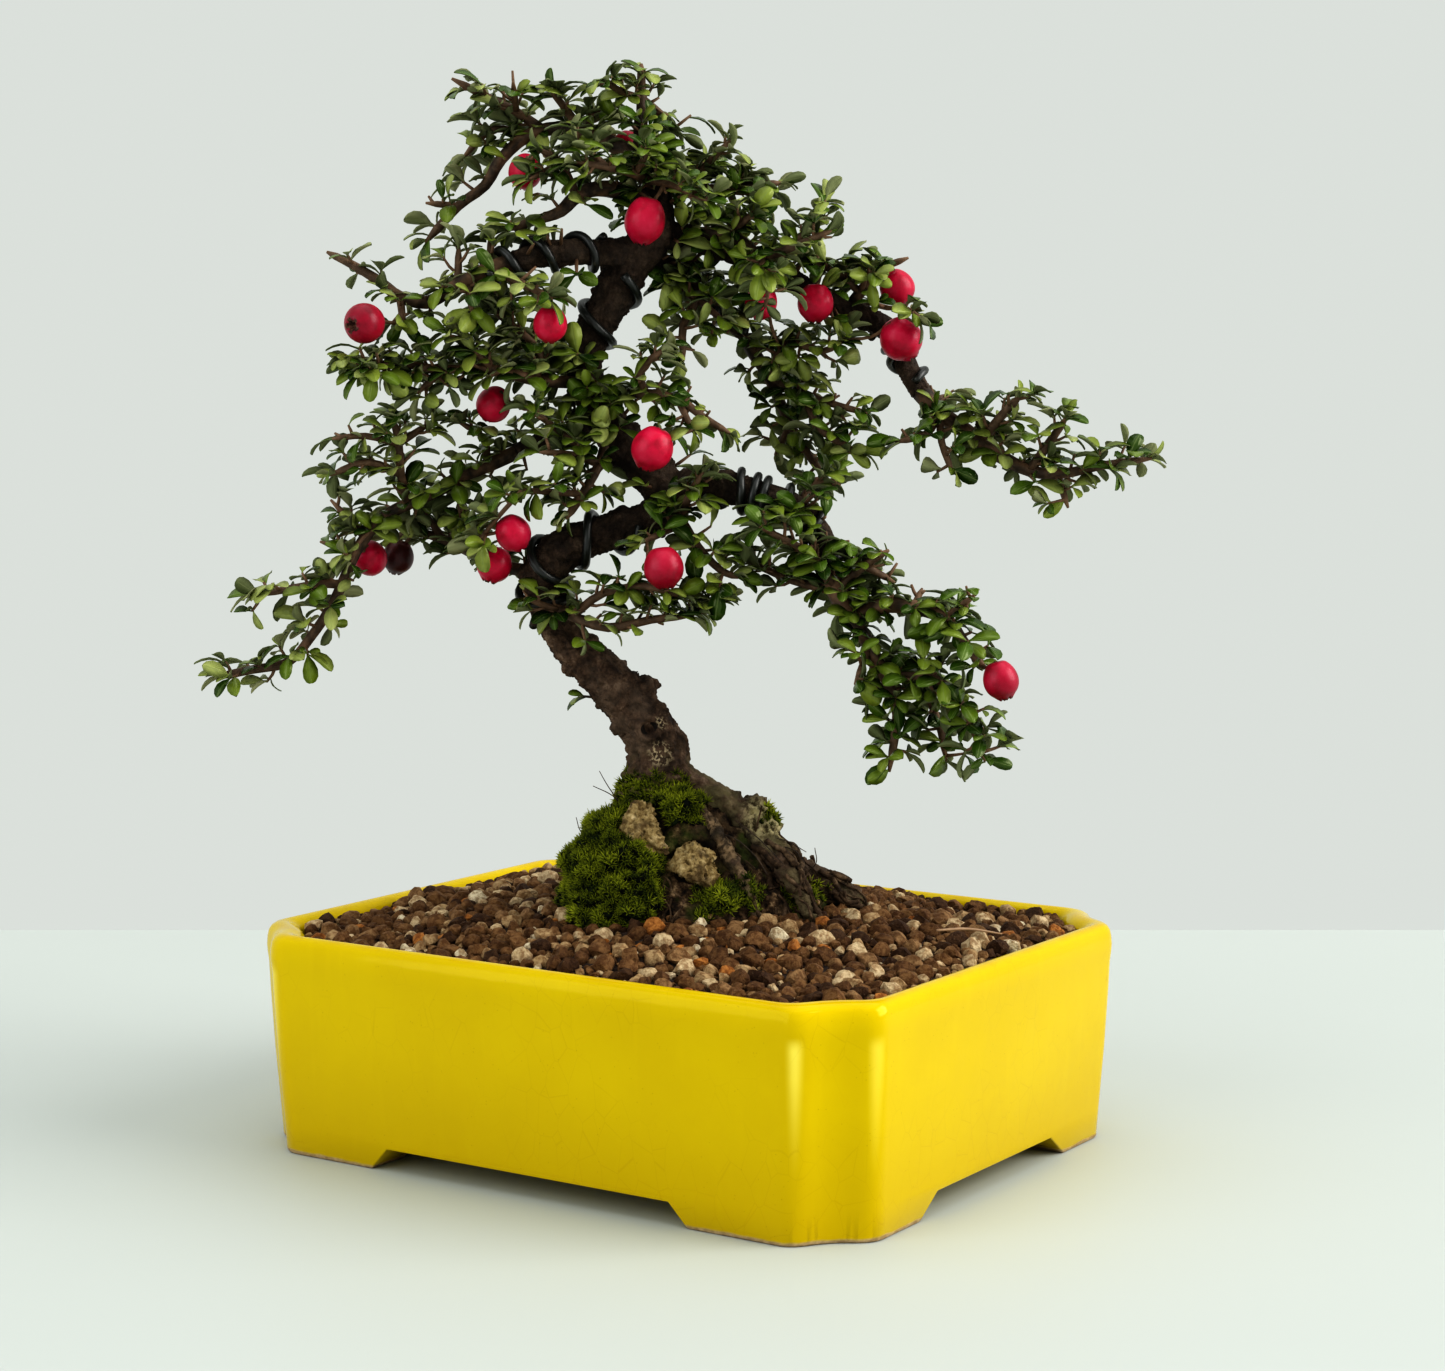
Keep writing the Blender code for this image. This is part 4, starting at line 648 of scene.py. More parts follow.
        ([(-3, -5, 122.5), (-1, -9, 121), (2, -12, 116.5), (6, -14, 112.5), (9.5, -15, 111)], 1.1, 0.6),
        ([(-1, -9, 121), (-9, -16, 117.5)], 0.8, 0.6),
        ([(-1, -9, 121), (0, -13, 126), (3, -15, 131)], 0.9, 0.6)],
}

# %% Wires: line, wire radius, hand, and the shares of the line where it crosses the branch's front
WIRES = {
    "wire_bend": (TRUNK, 0.85, -1, (0.270, 0.315, 0.365, 0.425, 0.475)),
    "wire_trunk": (TRUNK, 0.85, -1, (0.690, 0.735, 0.785)),
    "wire_left_upper": (LEFT_UPPER, 0.80, 1, (0.10, 0.22, 0.38, 0.52, 0.64)),
    "wire_right_lower": (BRANCHES["right_lower"], 0.80, 1, (0.22, 0.396, 0.443, 0.490, 0.62, 0.79, 0.98)),
    "wire_right_upper": (BRANCHES["right_upper"], 0.80, 1, (0.62, 0.74, 0.80, 0.97)),
    "wire_right_hang": (BRANCHES["right_hang"], 0.65, 1, (0.42, 0.68, 0.97)),
}

# %% Fruits: centre, half width and the spray that carries it
BERRIES = {
    "berry_crown": ((-8, -10, 178), 4.3, "spray_crown_front"),
    "berry_crown_left": ((-31, -1, 187.5), 3.3, "spray_crown_low"),
    "berry_crown_mid": ((-12, 10, 193), 3.0, "spray_crown_right"),
    "berry_left": ((-59.5, -20, 158.5), 3.8, "spray_left_upper"),
    "berry_right_a": ((24.5, 6, 163), 3.6, "spray_right_upper_bud"),
    "berry_right_b": ((40.5, 12, 166), 3.5, "spray_right_upper_bud"),
    "berry_right_c": ((41, 7, 156), 4.1, "spray_right_hang"),
    "berry_hang": ((14, 5, 163), 3.2, "spray_right_hang"),
    "berry_middle": ((-6.5, -17, 135.5), 4.0, "spray_centre_right"),
    "berry_wired": ((-25.5, -17, 158.5), 3.3, "spray_left_upper"),
    "berry_left_mid": ((-37, -5, 143.5), 3.4, "spray_centre_left"),
    "berry_bend_a": ((-33, -14, 119.5), 3.4, "spray_centre_left"),
    "berry_bend_b": ((-37.5, -7.5, 112), 3.4, "spray_lower_left"),
    "berry_dark": ((-57, 10, 111.5), 3.2, "spray_lower_left"),
    "berry_far_left": ((-60.5, 3, 113.5), 3.4, "spray_far_left"),
    "berry_low": ((-4.5, -20.5, 113.5), 3.8, "spray_lower_centre"),
    "berry_right_low": ((57.5, -31, 93.5), 3.5, "spray_right_lower"),
}

# %% [markdown]
# ## Smooth lines and tapering rods
# Wood has no elbows, so the few points of each line are joined by a smooth curve through them.
# Each rod could be a stretched cylinder, but a curve object with a bevel turns many lines at
# once into round, tapering rods. They are then made a mesh.


# %% Line helpers
def smooth_path(points, steps):
    """Rows on a Catmull-Rom curve through rows of numbers."""
    rows = [Vector(p) for p in points]
    rows = [2 * rows[0] - rows[1]] + rows + [2 * rows[-1] - rows[-2]]
    path = []
    for a, b, c, d in zip(rows, rows[1:], rows[2:], rows[3:]):
        for step in range(steps):
            t = step / steps
            path.append(0.5 * (2 * b + (c - a) * t + (2 * a - 5 * b + 4 * c - d) * t ** 2
                               + (3 * b - a - 3 * c + d) * t ** 3))
    path.append(rows[-2])
    return path


def tapered(points, first, last):
    """A twig's points with radii that shrink from first to last."""
    count = len(points) - 1
    return [(*point, first + (last - first) * i / count) for i, point in enumerate(points)]


def resample(path, spacing):
    """Rows at even distances along a path."""
    rows, left = [path[0]], spacing
    for start, end in zip(path, path[1:]):
        length, done = (end.xyz - start.xyz).length, 0.0
        while length - done >= left:
            done += left
            rows.append(start.lerp(end, done / length))
            left = spacing
        left -= length - done
    return rows


def skin_of(piece, to_frame):
    """The piece's faces as a tree that finds hits and nearest places in another frame."""
    return BVHTree.FromPolygons([to_frame @ vert.co for vert in piece.data.vertices],
                                [tuple(face.vertices) for face in piece.data.polygons])


def rods(name, lines, sides=1):
    """One mesh of tapering rods along lines of (x, y, z, radius) in the tree's millimetres."""
    curve = bpy.data.curves.new(name, "CURVE")
    curve.dimensions = "3D"
    curve.bevel_depth = MM
    curve.bevel_resolution = sides
    curve.use_fill_caps = True
    for line in lines:
        spline = curve.splines.new("POLY")
        spline.points.add(len(line) - 1)
        for point, row in zip(spline.points, line):
            point.co = (*(TREE @ Vector(row[:3])), 1.0)
            point.radius = row[3]
    piece = linked(name, curve)
    only(piece)
    bpy.ops.object.convert(target="MESH")
    edit_all(piece, (bpy.ops.mesh.remove_doubles, {"threshold": 0.000002}),
             (bpy.ops.mesh.normals_make_consistent, {"inside": False}))
    return piece


def ball(name, spot, radius):
    """A round lump at a spot of the tree."""
    return settle(primitive(bpy.ops.mesh.primitive_ico_sphere_add, name, subdivisions=3, radius=radius * MM,
                            location=TREE @ Vector(spot)))


def join(name, pieces):
    only(*pieces)
    bpy.ops.object.join()
    return named(name)


# %% [markdown]
# ## Bark
# The trunk, its branches and its surface roots are rods that are melted together by a voxel
# remesh, so every fork gets a natural collar. Then each vertex moves in or out: slow swellings,
# ridges that run along the wood, small flaking plates, an old pruning scar with its rim, and
# burrs. Sculpting by hand would do it too, but noise gives the same bark on every run. Relief
# follows the wood, so the ridges are measured along the nearest centre line.

# %% Rods of wood, melted together
WOOD_LINES = [TRUNK, *BRANCHES.values(), *ROOTS.values()]
wood_rows = [row for line in WOOD_LINES for row in smooth_path(line, 6)]
wood_tree = KDTree(len(wood_rows))
for i, row in enumerate(wood_rows):
    wood_tree.insert(row.xyz, i)
wood_tree.balance()
wood_ahead = [(wood_rows[min(i + 1, len(wood_rows) - 1)].xyz - wood_rows[max(i - 1, 0)].xyz).normalized()
              for i in range(len(wood_rows))]
ROUNDER = 1.02
WOOD_VOXEL = 0.00037
wood_rods = [[(*row.xyz, row.w * ROUNDER) for row in smooth_path(line, 4)] for line in WOOD_LINES]
# A pruned stub on the outside of the first bend
wood_rods.append([(-9.5, -1.5, 88.0, 1.1), (-7.6, -1.5, 88.9, 0.85), (-6.1, -1.5, 89.4, 0.9)])
lumps = [ball("burr", knob[:3], knob[3]) for knob in KNOBS]
wood = join("bark_wood", [rods("wood_rods", wood_rods, 4)] + lumps)
modifier(wood, "REMESH", mode="VOXEL", voxel_size=WOOD_VOXEL)
modifier(wood, "SMOOTH", iterations=6, factor=0.5)
print("wood faces:", len(wood.data.polygons))

# %% Bark relief
SCAR = Vector((-7.6, -6.2, 81.4))
BURL = Vector((14.5, -6.5, 64.0))
BURL_REACH = 6.5
FLARE_TOP = 70


def crests(spot, sharpness):
    """Noise folded into crests: 1 on a crest, lower beside it."""
    return 1 - abs(noise.noise(spot)) * sharpness


def bark_relief(here):
    """Height of the bark at a place of the wood."""
    _, index, _ = wood_tree.find(here)
    row, ahead = wood_rows[index], wood_ahead[index]
    along = (here - row.xyz).dot(ahead) + index * 0.9
    out = here - row.xyz - ahead * (here - row.xyz).dot(ahead)
    thick = min(1.0, row.w / 4.0)
    swell = noise.noise(here * 0.16) * 0.75 + noise.noise(here * 0.33 + Vector((7, 0, 0))) * 0.55
    spurs = max(0.0, noise.noise(here * 0.50 + Vector((0, 9, 4))) - 0.26) * 2.0
    ridges = crests(Vector((out.x, out.y, along * 0.30 + out.z * 0.6)) * 0.9, 2.2)
    plates = crests(here * 1.25 + Vector((0, 5, 0)), 2.4)
    pores = noise.noise(here * 3.3)
    scaly = 0.5 + 0.5 * noise.noise(here * 0.12 + Vector((3, 1, 8)))
    plates += crests(here * 2.1 + Vector((1, 0, 6)), 2.6) * scaly * 0.5
    fine = ridges * 0.30 + plates * 0.24 + pores * 0.12
    height = (swell * 0.50 + spurs) * thick + fine * (0.40 + 0.60 * thick)
    if here.z < FLARE_TOP:
        height += noise.noise(here * 0.45) * 0.7 + crests(here * 0.62, 2.5) * 0.45
    scar = (here - SCAR).length
    height += 0.60 * math.exp(-((scar - 2.1) / 0.8) ** 2) - 1.9 * math.exp(-(scar / 1.1) ** 2) - 0.22
    burl = (here - BURL).length
    if burl < BURL_REACH:
        height += (crests(here * 0.7, 3.0) * 0.8 + noise.noise(here * 1.6) * 0.7) * (1 - burl / BURL_REACH)
    return height


push_out(wood, bark_relief)

# %% [markdown]
# ## Bark colours
# The bark is dark brown, nearly black high in the crown, and grey, green with algae or worn pale
# lower down. The tones come from noise on the wood's own coordinates, so they have no seams
# where branches meet. Patches that belong to one place, such as the pit of the old scar, are
# masks that fade with the distance from a spot. The near-black pit of the scar and the hollow
# beside the burl are painted shade.

# %% Bark material
bark = Look("bark", Specular_IOR_Level=0.35)
grain = bark.noise(700.0, 5.0, 0.65)
tones = bark.ramp(bark.noise(300.0, 5.0, 0.68), [
    (0.30, (0.011, 0.005, 0.003)), (0.44, (0.042, 0.023, 0.013)),
    (0.57, (0.108, 0.064, 0.040)), (0.70, (0.26, 0.180, 0.125))])
# Higher up the bark is darker
high = bark.rise(bark.height(), 0.095, 0.125)
tones = bark.mix(high * 0.62, tones, (0.013, 0.009, 0.006))
# Grey weathered patches, algae near the foot, and lichen above and below the scar's dark pit
grey = bark.rise(bark.noise(120.0, 3.0), 0.48, 0.66) * (1 - high * 0.6)
tones = bark.mix(grey * 0.35, tones, (0.165, 0.118, 0.084))
algae = bark.rise(bark.noise(95.0, 4.0, place=bark.place((1, 1, 1.4))), 0.42, 0.60)
algae = algae * (1 - bark.rise(bark.height(), 0.068, 0.080))
# Grey weathered patches, algae near the foot, and lichen above and below the scar's pit
tones = bark.mix(algae * 0.70, tones, bark.mix(grain, (0.075, 0.066, 0.028), (0.300, 0.255, 0.130)))
lichen = bark.near((-5.4, -6.5, 76.4), 3.4) + bark.near((-4.6, -6.0, 83.0), 2.4)
lichen = lichen * bark.rise(bark.noise(1500.0, 3.0), 0.52, 0.58)
tones = bark.mix(lichen * 0.85, tones, (0.52, 0.42, 0.27))
# Painted shade: the scar's pit is nearly black
pit = bark.rise(bark.near((-8.2, -6.2, 81.2), 1.35) + bark.near((-7.0, -6.2, 81.6), 1.35), 0.15, 0.45)
tones = bark.mix(pit * 0.92, tones, (0.004, 0.002, 0.001))
# The burl is worn light, the hollow beside it is painted shade, nearly black, and the roots are bare wood
knob = bark.near((14.5, -6.5, 63.0), 7.0) * bark.rise(bark.noise(260.0, 4.0), 0.34, 0.50)
worn = bark.rise(bark.noise(620.0, 4.0, 0.65), 0.40, 0.60)
tones = bark.mix(knob * 0.85, tones, bark.mix(worn, (0.048, 0.036, 0.010), (0.60, 0.52, 0.29)))
hollow_shade = bark.near((6.5, -12.0, 58.5), 9.5) * bark.rise(bark.noise(230.0, 4.0, 0.65), 0.38, 0.52)
tones = bark.mix(hollow_shade * 0.90, tones, (0.006, 0.004, 0.001))
FRONT_ROOT = [(3.5, -11.0, 64.2), (7.2, -13.9, 58.8), (10.2, -16.1, 53.4)]
front_root = sum(bark.near(middle, 4.2) for middle in FRONT_ROOT)
tones = bark.mix(front_root * 0.75, tones, bark.mix(worn, (0.060, 0.038, 0.020), (0.34, 0.235, 0.135)))
foot = bark.near((24.0, -9.0, 50.0), 13.0)
foot_tone = bark.mix(bark.noise(420.0, 4.0), (0.012, 0.007, 0.004), (0.115, 0.072, 0.042))
tones = bark.mix(foot * 0.75, tones, foot_tone)
rifts = bark.noise(330.0, 4.0, 0.6, bark.place((1, 1, 0.45)), "RIDGED_MULTIFRACTAL")
cracks = bark.rise(rifts, 0.55, 1.15)
tones = bark.mix(cracks * 0.55, tones, (0.010, 0.006, 0.004))
relief = grain * 0.8 + bark.noise(300.0, 4.0) * 0.9 - cracks * 0.8
bark_material = bark.end(Base_Color=tones, Roughness=0.72 + bark.rise(grain, 0.3, 0.7) * 0.2,
                         Normal=bark.bump(relief, 0.0009))
dress(wood, bark_material, "bark", "trunk_wood")
print("wood triangles:", sum(len(p.vertices) - 2 for p in wood.data.polygons))

# %% [markdown]
# ## Training wire
# Thick black aluminium wire is wound round the branches to hold their bends. Each coil is a
# helix about the branch's centre line, pressed against its bark. An even spiral looks machine
# made, so each turn runs from one crossing of the branch's front to the next, as the photo has
# them.


# %% Coils
TURN_STEPS = 24
COIL_START = 0.3


def coil(path, wire_radius, hand, crossings):
    """Wire wound round a branch, one turn from each front crossing to the next."""
    fine = smooth_path(path, 12)
    rows = []
    for i in range(round(COIL_START * TURN_STEPS), TURN_STEPS * (len(crossings) - 1) + 1):
        turn = i / TURN_STEPS
        place = float(np.interp(turn, range(len(crossings)), crossings)) * (len(fine) - 1)
        low = min(int(place), len(fine) - 2)
        point = fine[low].xyz.lerp(fine[low + 1].xyz, place - low)
        ahead = (fine[min(low + 3, len(fine) - 1)].xyz - fine[max(low - 2, 0)].xyz).normalized()
        front = EYE - point
        front = (front - ahead * front.dot(ahead)).normalized()
        angle = 2 * math.pi * turn
        out = front * math.cos(angle) + ahead.cross(front) * hand * math.sin(angle)
        rows.append((*(point + out * (fine[low].w * ROUNDER + wire_radius)), wire_radius))
    return rows


wire = Look("black_wire", Specular_IOR_Level=0.6)
wire_tone = wire.mix(wire.noise(420.0, 3.0), (0.005, 0.006, 0.006), (0.016, 0.018, 0.016))
scuffs = wire.rise(wire.noise(900.0, 2.0), 0.60, 0.74)
wire_material = wire.end(Base_Color=wire.mix(scuffs * 0.35, wire_tone, (0.10, 0.085, 0.045)),
                         Roughness=0.24 + wire.noise(300.0) * 0.22,
                         Normal=wire.bump(wire.noise(800.0), 0.0001, 0.4))
for name, winding_data in WIRES.items():
    winding = rods(name.replace("wire", "winding"), [coil(*winding_data)], 3)
    dress(smooth(winding), wire_material, "black_wire", name)

# %% [markdown]
# ## Fruits
# The ripe fruits are small pomes: egg-shaped, with the five dried sepals of the flower folded
# into a star at the end away from the stalk. One fruit is modelled from a sphere: its end is
# pressed in, and the star's lobes are raised round the pit. Then it is copied and turned.


# %% One fruit
def fruit_pattern():
    """Fruit of radius 1 with its stalk end at +Z and its star at -Z."""
    fruit = primitive(bpy.ops.mesh.primitive_uv_sphere_add, "fruit_pattern",
                      segments=30, ring_count=20, radius=1.0)
    mask = fruit.data.attributes.new("star", "FLOAT", "POINT")
    # Painted shade: a share that darkens the skin towards the star end, which mostly hangs down
    ripeness = fruit.data.attributes.new("ripeness", "FLOAT", "POINT")
    for vert in fruit.data.vertices:
        x, y, z = vert.co
        wide = math.hypot(x, y)
        full = 1.0 - 0.10 * z
        place = Vector((x * full, y * full, z * 1.06))
        if z < 0 and wide < 0.5:
            lobe = 0.5 + 0.5 * math.cos(5 * math.atan2(y, x))
            edge = 0.20 + 0.16 * lobe
            place.z += 0.34 * max(0.0, 1 - wide / 0.42) ** 1.5 - 0.20 * math.exp(-((wide - edge) / 0.09) ** 2)
            mask.data[vert.index].value = share((edge + 0.10 - wide) / 0.12)
        ripeness.data[vert.index].value = share(0.35 - 0.65 * z)
        if z > 0.85:
            place.z -= 0.12 * (z - 0.85) / 0.15
        vert.co = place
    return smooth(fruit)


fruit_shape = fruit_pattern()


def fruit_skin(name, dark, middle, light):
    """Satin skin with pores and a dried star, in three tones."""
    berry = Look(name, Specular_IOR_Level=0.28, Coat_Roughness=0.26, Specular_Tint=(1.0, 0.62, 0.74, 1.0))
    skin = berry.ramp(berry.noise(260.0, 4.0), [(0.28, dark), (0.50, middle), (0.70, light)])
    pores = 1 - berry.rise(berry.cells(1500.0), 0.06, 0.16)
    skin = berry.mix(pores * 0.25, skin, tuple(min(1.0, 1.3 * c + 0.04) for c in light))
    # Painted shade: darker towards the star end
    skin = berry.mix(berry.attribute("ripeness") * 0.55, skin, tuple(0.40 * c for c in middle))
    star = berry.attribute("star")
    husk = berry.ramp(berry.noise(1500.0, 3.0), [(0.35, (0.014, 0.005, 0.004)), (0.65, (0.15, 0.070, 0.045))])
    skin = berry.mix(berry.rise(star + berry.noise(1300.0, 3.0) * 0.8 - 0.40, 0.30, 0.60), skin, husk)
    return berry.end(Base_Color=skin, Roughness=0.40 + star * 0.4 + berry.noise(500.0) * 0.12,
                     Coat_Weight=0.30 - star * 0.30,
                     Normal=berry.bump(berry.noise(1100.0, 2.0), 0.00008, 0.5))


ripe = fruit_skin("berry_skin", (0.29, 0.002, 0.020), (0.57, 0.004, 0.050), (0.65, 0.022, 0.086))
# Painted shade: a darker copy of the ripe skin, for fruits that lie in shade
shaded_skin = fruit_skin("shaded_berry_skin", (0.18, 0.002, 0.013), (0.39, 0.003, 0.032), (0.48, 0.016, 0.058))
overripe = fruit_skin("old_berry_skin", (0.020, 0.008, 0.006), (0.060, 0.014, 0.012), (0.14, 0.030, 0.026))

# %% [markdown]
# ## Stalks and fine twigs
# A fruit sits on a short stalk that leaves the nearest twig. It points up the stalk and a little
# to the viewer. The stalks are kept with their spray's twigs, because they grow from the same
# wood. A few leafy twigs are too fine for the solids, and they are added here as well.

# %% Stalks, and a copy of the fruit for each solid
# Leafy twigs too fine for the solids, each by the spray that carries it
FINE_TWIGS = {
    "spray_right_shoulder": [([(14, -11, 168.5), (15, -9, 165), (14.5, -6, 161.5)], 0.5, 0.4)],
    "spray_right_upper_bud": [([(35, 11, 163), (38.5, 6, 161.8), (42, 3, 161.6), (45, 2.5, 159.5)], 0.6, 0.4),
                              ([(33.5, 13, 165), (34.5, 7, 168), (36, 3, 168.5)], 0.6, 0.4)],
    "spray_far_left": [([(-60.5, -2, 120), (-63, -6, 117), (-64.5, -7, 113)], 0.5, 0.4)],
    "spray_centre_left": [([(-31, -16, 127.5), (-36, -15, 122), (-40, -13, 117)], 0.5, 0.4)],
}
twig_paths = {name: [smooth_path(tapered(*twig), 3) for twig in twigs + FINE_TWIGS.get(name, [])]
              for name, twigs in SPRAYS.items()}
stalk_lines = {name: [] for name in SPRAYS}
# A fruit a little beside its solid, and one slimmer than it is long
MOVED = {"berry_dark": (-0.2, 0, 2.0), "berry_far_left": (-1.4, 0, 0.2), "berry_bend_b": (0.6, 0, 1.2)}
SLIMMER = {"berry_crown": 0.89, "berry_right_c": 1.0, "berry_right_low": 0.93}
# Fruits in shade take the darker copy as painted shade; the dried fruit takes the old skin
SKINS = {"berry_dark": overripe, "berry_left": shaded_skin, "berry_low": shaded_skin, "berry_right_low": shaded_skin}
for name, (centre, radius, spray) in BERRIES.items():
    centre = Vector(centre) + Vector(MOVED.get(name, (0, 0, 0)))
    rows = [row for path in twig_paths[spray] for row in resample(path, 0.5)]
    root = min(rows, key=lambda row: abs((row.xyz - centre).length - 1.6 * radius)).xyz
    view = (EYE - centre).normalized()
    if name == "berry_left":
        way = (Vector((0.55, 0, 0.10)) - view * 0.75).normalized()
    else:
        way = ((root - centre).normalized() * 0.6 + UP + view * 0.4).normalized()
    sag = (root + centre) / 2 + Vector((0, 0, 0.4))
    top = centre + way * radius * 0.9
    stalk_lines[spray].append(smooth_path([(*root, 0.42), (*sag, 0.36), (*top, 0.45)], 3))
    fruit = linked(name.replace("berry", "fruit"), fruit_shape.data.copy())
    turn = way.to_track_quat("Z", "Y").to_matrix().to_4x4()
    squeeze = Matrix.Diagonal((SLIMMER.get(name, 0.96), SLIMMER.get(name, 0.98), 1.0, 1.0))
    fruit.data.transform(TREE @ Matrix.Translation(centre) @ turn @ squeeze @ Matrix.Scale(radius, 4))
    dress(fruit, SKINS.get(name, ripe), "berry_red", name)
bpy.data.objects.remove(fruit_shape)
print("fruits:", len(BERRIES))

# %% [markdown]
# ## One leaf, three bends
# A leaf of this plant is about 5 mm long and widest near its blunt tip. It is folded a little
# along its midrib and arched. It starts as a small grid that is pulled into the outline; its
# underside is a copy with the middle lowered, merged to it at the rim. Three bends are enough,
# because each leaf also gets its own size, direction and tone.


# %% Leaf patterns
def leaf_pattern(fold, arch, broad):
    """Leaf of length 1 along Y with its upper face to Z."""
    leaf = primitive(bpy.ops.mesh.primitive_grid_add, "leaf_pattern",
                     x_subdivisions=2, y_subdivisions=6, size=2)
    stations = (0.0, 0.13, 0.33, 0.56, 0.79, 0.945, 1.0)
    widths = (0.035, 0.055, 0.185, 0.268, 0.262, 0.172, 0.070)
    for vert in leaf.data.vertices:
        row = round((vert.co.y + 1) * 3)
        across, along = vert.co.x * widths[row] * broad, stations[row]
        vert.co = (across, along, abs(across) * fold + arch * math.sin(math.pi * along) - 0.10 * along ** 3)
    edit_all(leaf, (bpy.ops.mesh.duplicate, {}), (bpy.ops.mesh.flip_normals, {}))
    for vert in leaf.data.vertices:
        if vert.select and abs(vert.co.x) < 1e-5:
            vert.co.z -= 0.045
    side = leaf.data.attributes.new("under", "FLOAT", "FACE")
    for face in leaf.data.polygons:
        side.data[face.index].value = float(face.select)
    edit_all(leaf, (bpy.ops.mesh.remove_doubles, {"threshold": 0.0001}))
    return leaf


LEAF_BENDS = [(0.22, 0.07, 0.94), (0.10, 0.12, 1.02), (0.34, 0.03, 0.80)]
leaf_patterns = [leaf_pattern(*bend) for bend in LEAF_BENDS]
print("leaf faces:", len(leaf_patterns[0].data.polygons))


# %% [markdown]
# ## Many copies in one mesh
# Leaves, moss and granules repeat by the thousand. As separate objects they would be slow to
# handle and would crowd the list of pieces. So a pattern's numbers are copied, moved by a matrix
# each, and put together as one mesh per spray. Every copy also gets its own tone.

# %% Stamping a pattern many times in one mesh
def stamp(name, patterns, places):
    """One mesh of copies of the patterns.

    Each place is the pattern's number, a matrix in the tree's frame and a tone."""
    spots, corners, starts, coords, under, tones = [], [], [], [], [], []
    done = corner_count = 0
    for which, pattern in enumerate(patterns):
        mesh = pattern.data
        mine = [(np.array(TREE @ matrix), tone) for number, matrix, tone in places if number == which]
        if not mine:
            continue
        own = np.c_[vertex_rows(mesh, "co"), np.ones(len(mesh.vertices))]
        loops = np.array([loop.vertex_index for loop in mesh.loops])
        loop_starts = np.array([face.loop_start for face in mesh.polygons])
        side = mesh.attributes.get("under")
        sides = [item.value for item in side.data] if side else [0.0] * len(mesh.polygons)
        uv = np.zeros(len(loops) * 2)
        if mesh.uv_layers:
            mesh.uv_layers[0].data.foreach_get("uv", uv)
        for matrix, tone in mine:
            spots.append((own @ matrix.T)[:, :3])
            corners.append(loops + done)
            starts.append(loop_starts + corner_count)
            coords.append(uv)
            under.extend(sides)
            tones.extend([tone] * len(sides))
            done += len(own)
            corner_count += len(loops)
    mesh = bpy.data.meshes.new(name)
    spots, corners, starts = np.concatenate(spots), np.concatenate(corners), np.concatenate(starts)
    mesh.vertices.add(len(spots))
    mesh.vertices.foreach_set("co", spots.ravel())
    mesh.loops.add(len(corners))
    mesh.loops.foreach_set("vertex_index", corners)
    mesh.polygons.add(len(starts))
    mesh.polygons.foreach_set("loop_start", starts)
    mesh.uv_layers.new(name="UVMap")
    mesh.uv_layers[0].data.foreach_set("uv", np.concatenate(coords))
    for key, values in (("under", under), ("tone", tones)):
        mesh.attributes.new(key, "FLOAT", "FACE").data.foreach_set("value", values)
    mesh.update(calc_edges=True)
    mesh.validate()
    return smooth(linked(name, mesh))


# %% [markdown]
# ## Where leaves grow
# Along each twig, short side shoots stand a few millimetres apart, turned by the golden angle,
# and lean towards the light. Each carries a rosette of three to six leaves, and the twig ends
# in one more. A leaf is left out where it would cut into wood or a fruit, or hide a fruit that
# shows from the front. Scattering leaves at random in a cloud would be simpler, but then they
# hang in the air; a shoot for each rosette keeps them on the tree.

# %% Measures of the shoots
SHOOT_GAP = (1.30, 2.35)
SHOOT_LENGTH = (0.9, 4.4)
FLATTER = 0.60
LEAF_SIZE = (3.2, 6.4)

# %% Fruits that stay in sight
# The share of each fruit's width that leaves keep clear in front of it
CLEAR_FRUIT = 0.95
HIDDEN_FRUITS = {
    "berry_dark": 0.3, "berry_crown_left": 0.2, "berry_crown_mid": 0.35, "berry_wired": 0.0,
    "berry_left_mid": 0.3, "berry_bend_b": 0.2, "berry_hang": 0.0, "berry_right_a": 0.25,
    "berry_right_b": 0.60, "berry_low": 0.6, "berry_right_c": 0.75, "berry_right_low": 0.75,
}
fruit_balls = [(Vector(centre), radius, HIDDEN_FRUITS.get(name, CLEAR_FRUIT))
               for name, (centre, radius, _) in BERRIES.items()]

# %% [markdown]
# ## Gaps in the crown
# A bonsai's branches are set apart so that light falls between them. These gaps are as much a
# part of its look as the leaves. Each is a round window in the tree's middle plane, and a leaf
# whose line of sight crosses a window is left out. The list below isn't a good example: 45 of
# its 52 circles are the output of a scratch program that compared the photo with a render, and
# seven were set by hand. Gaps chosen by hand should take its place.

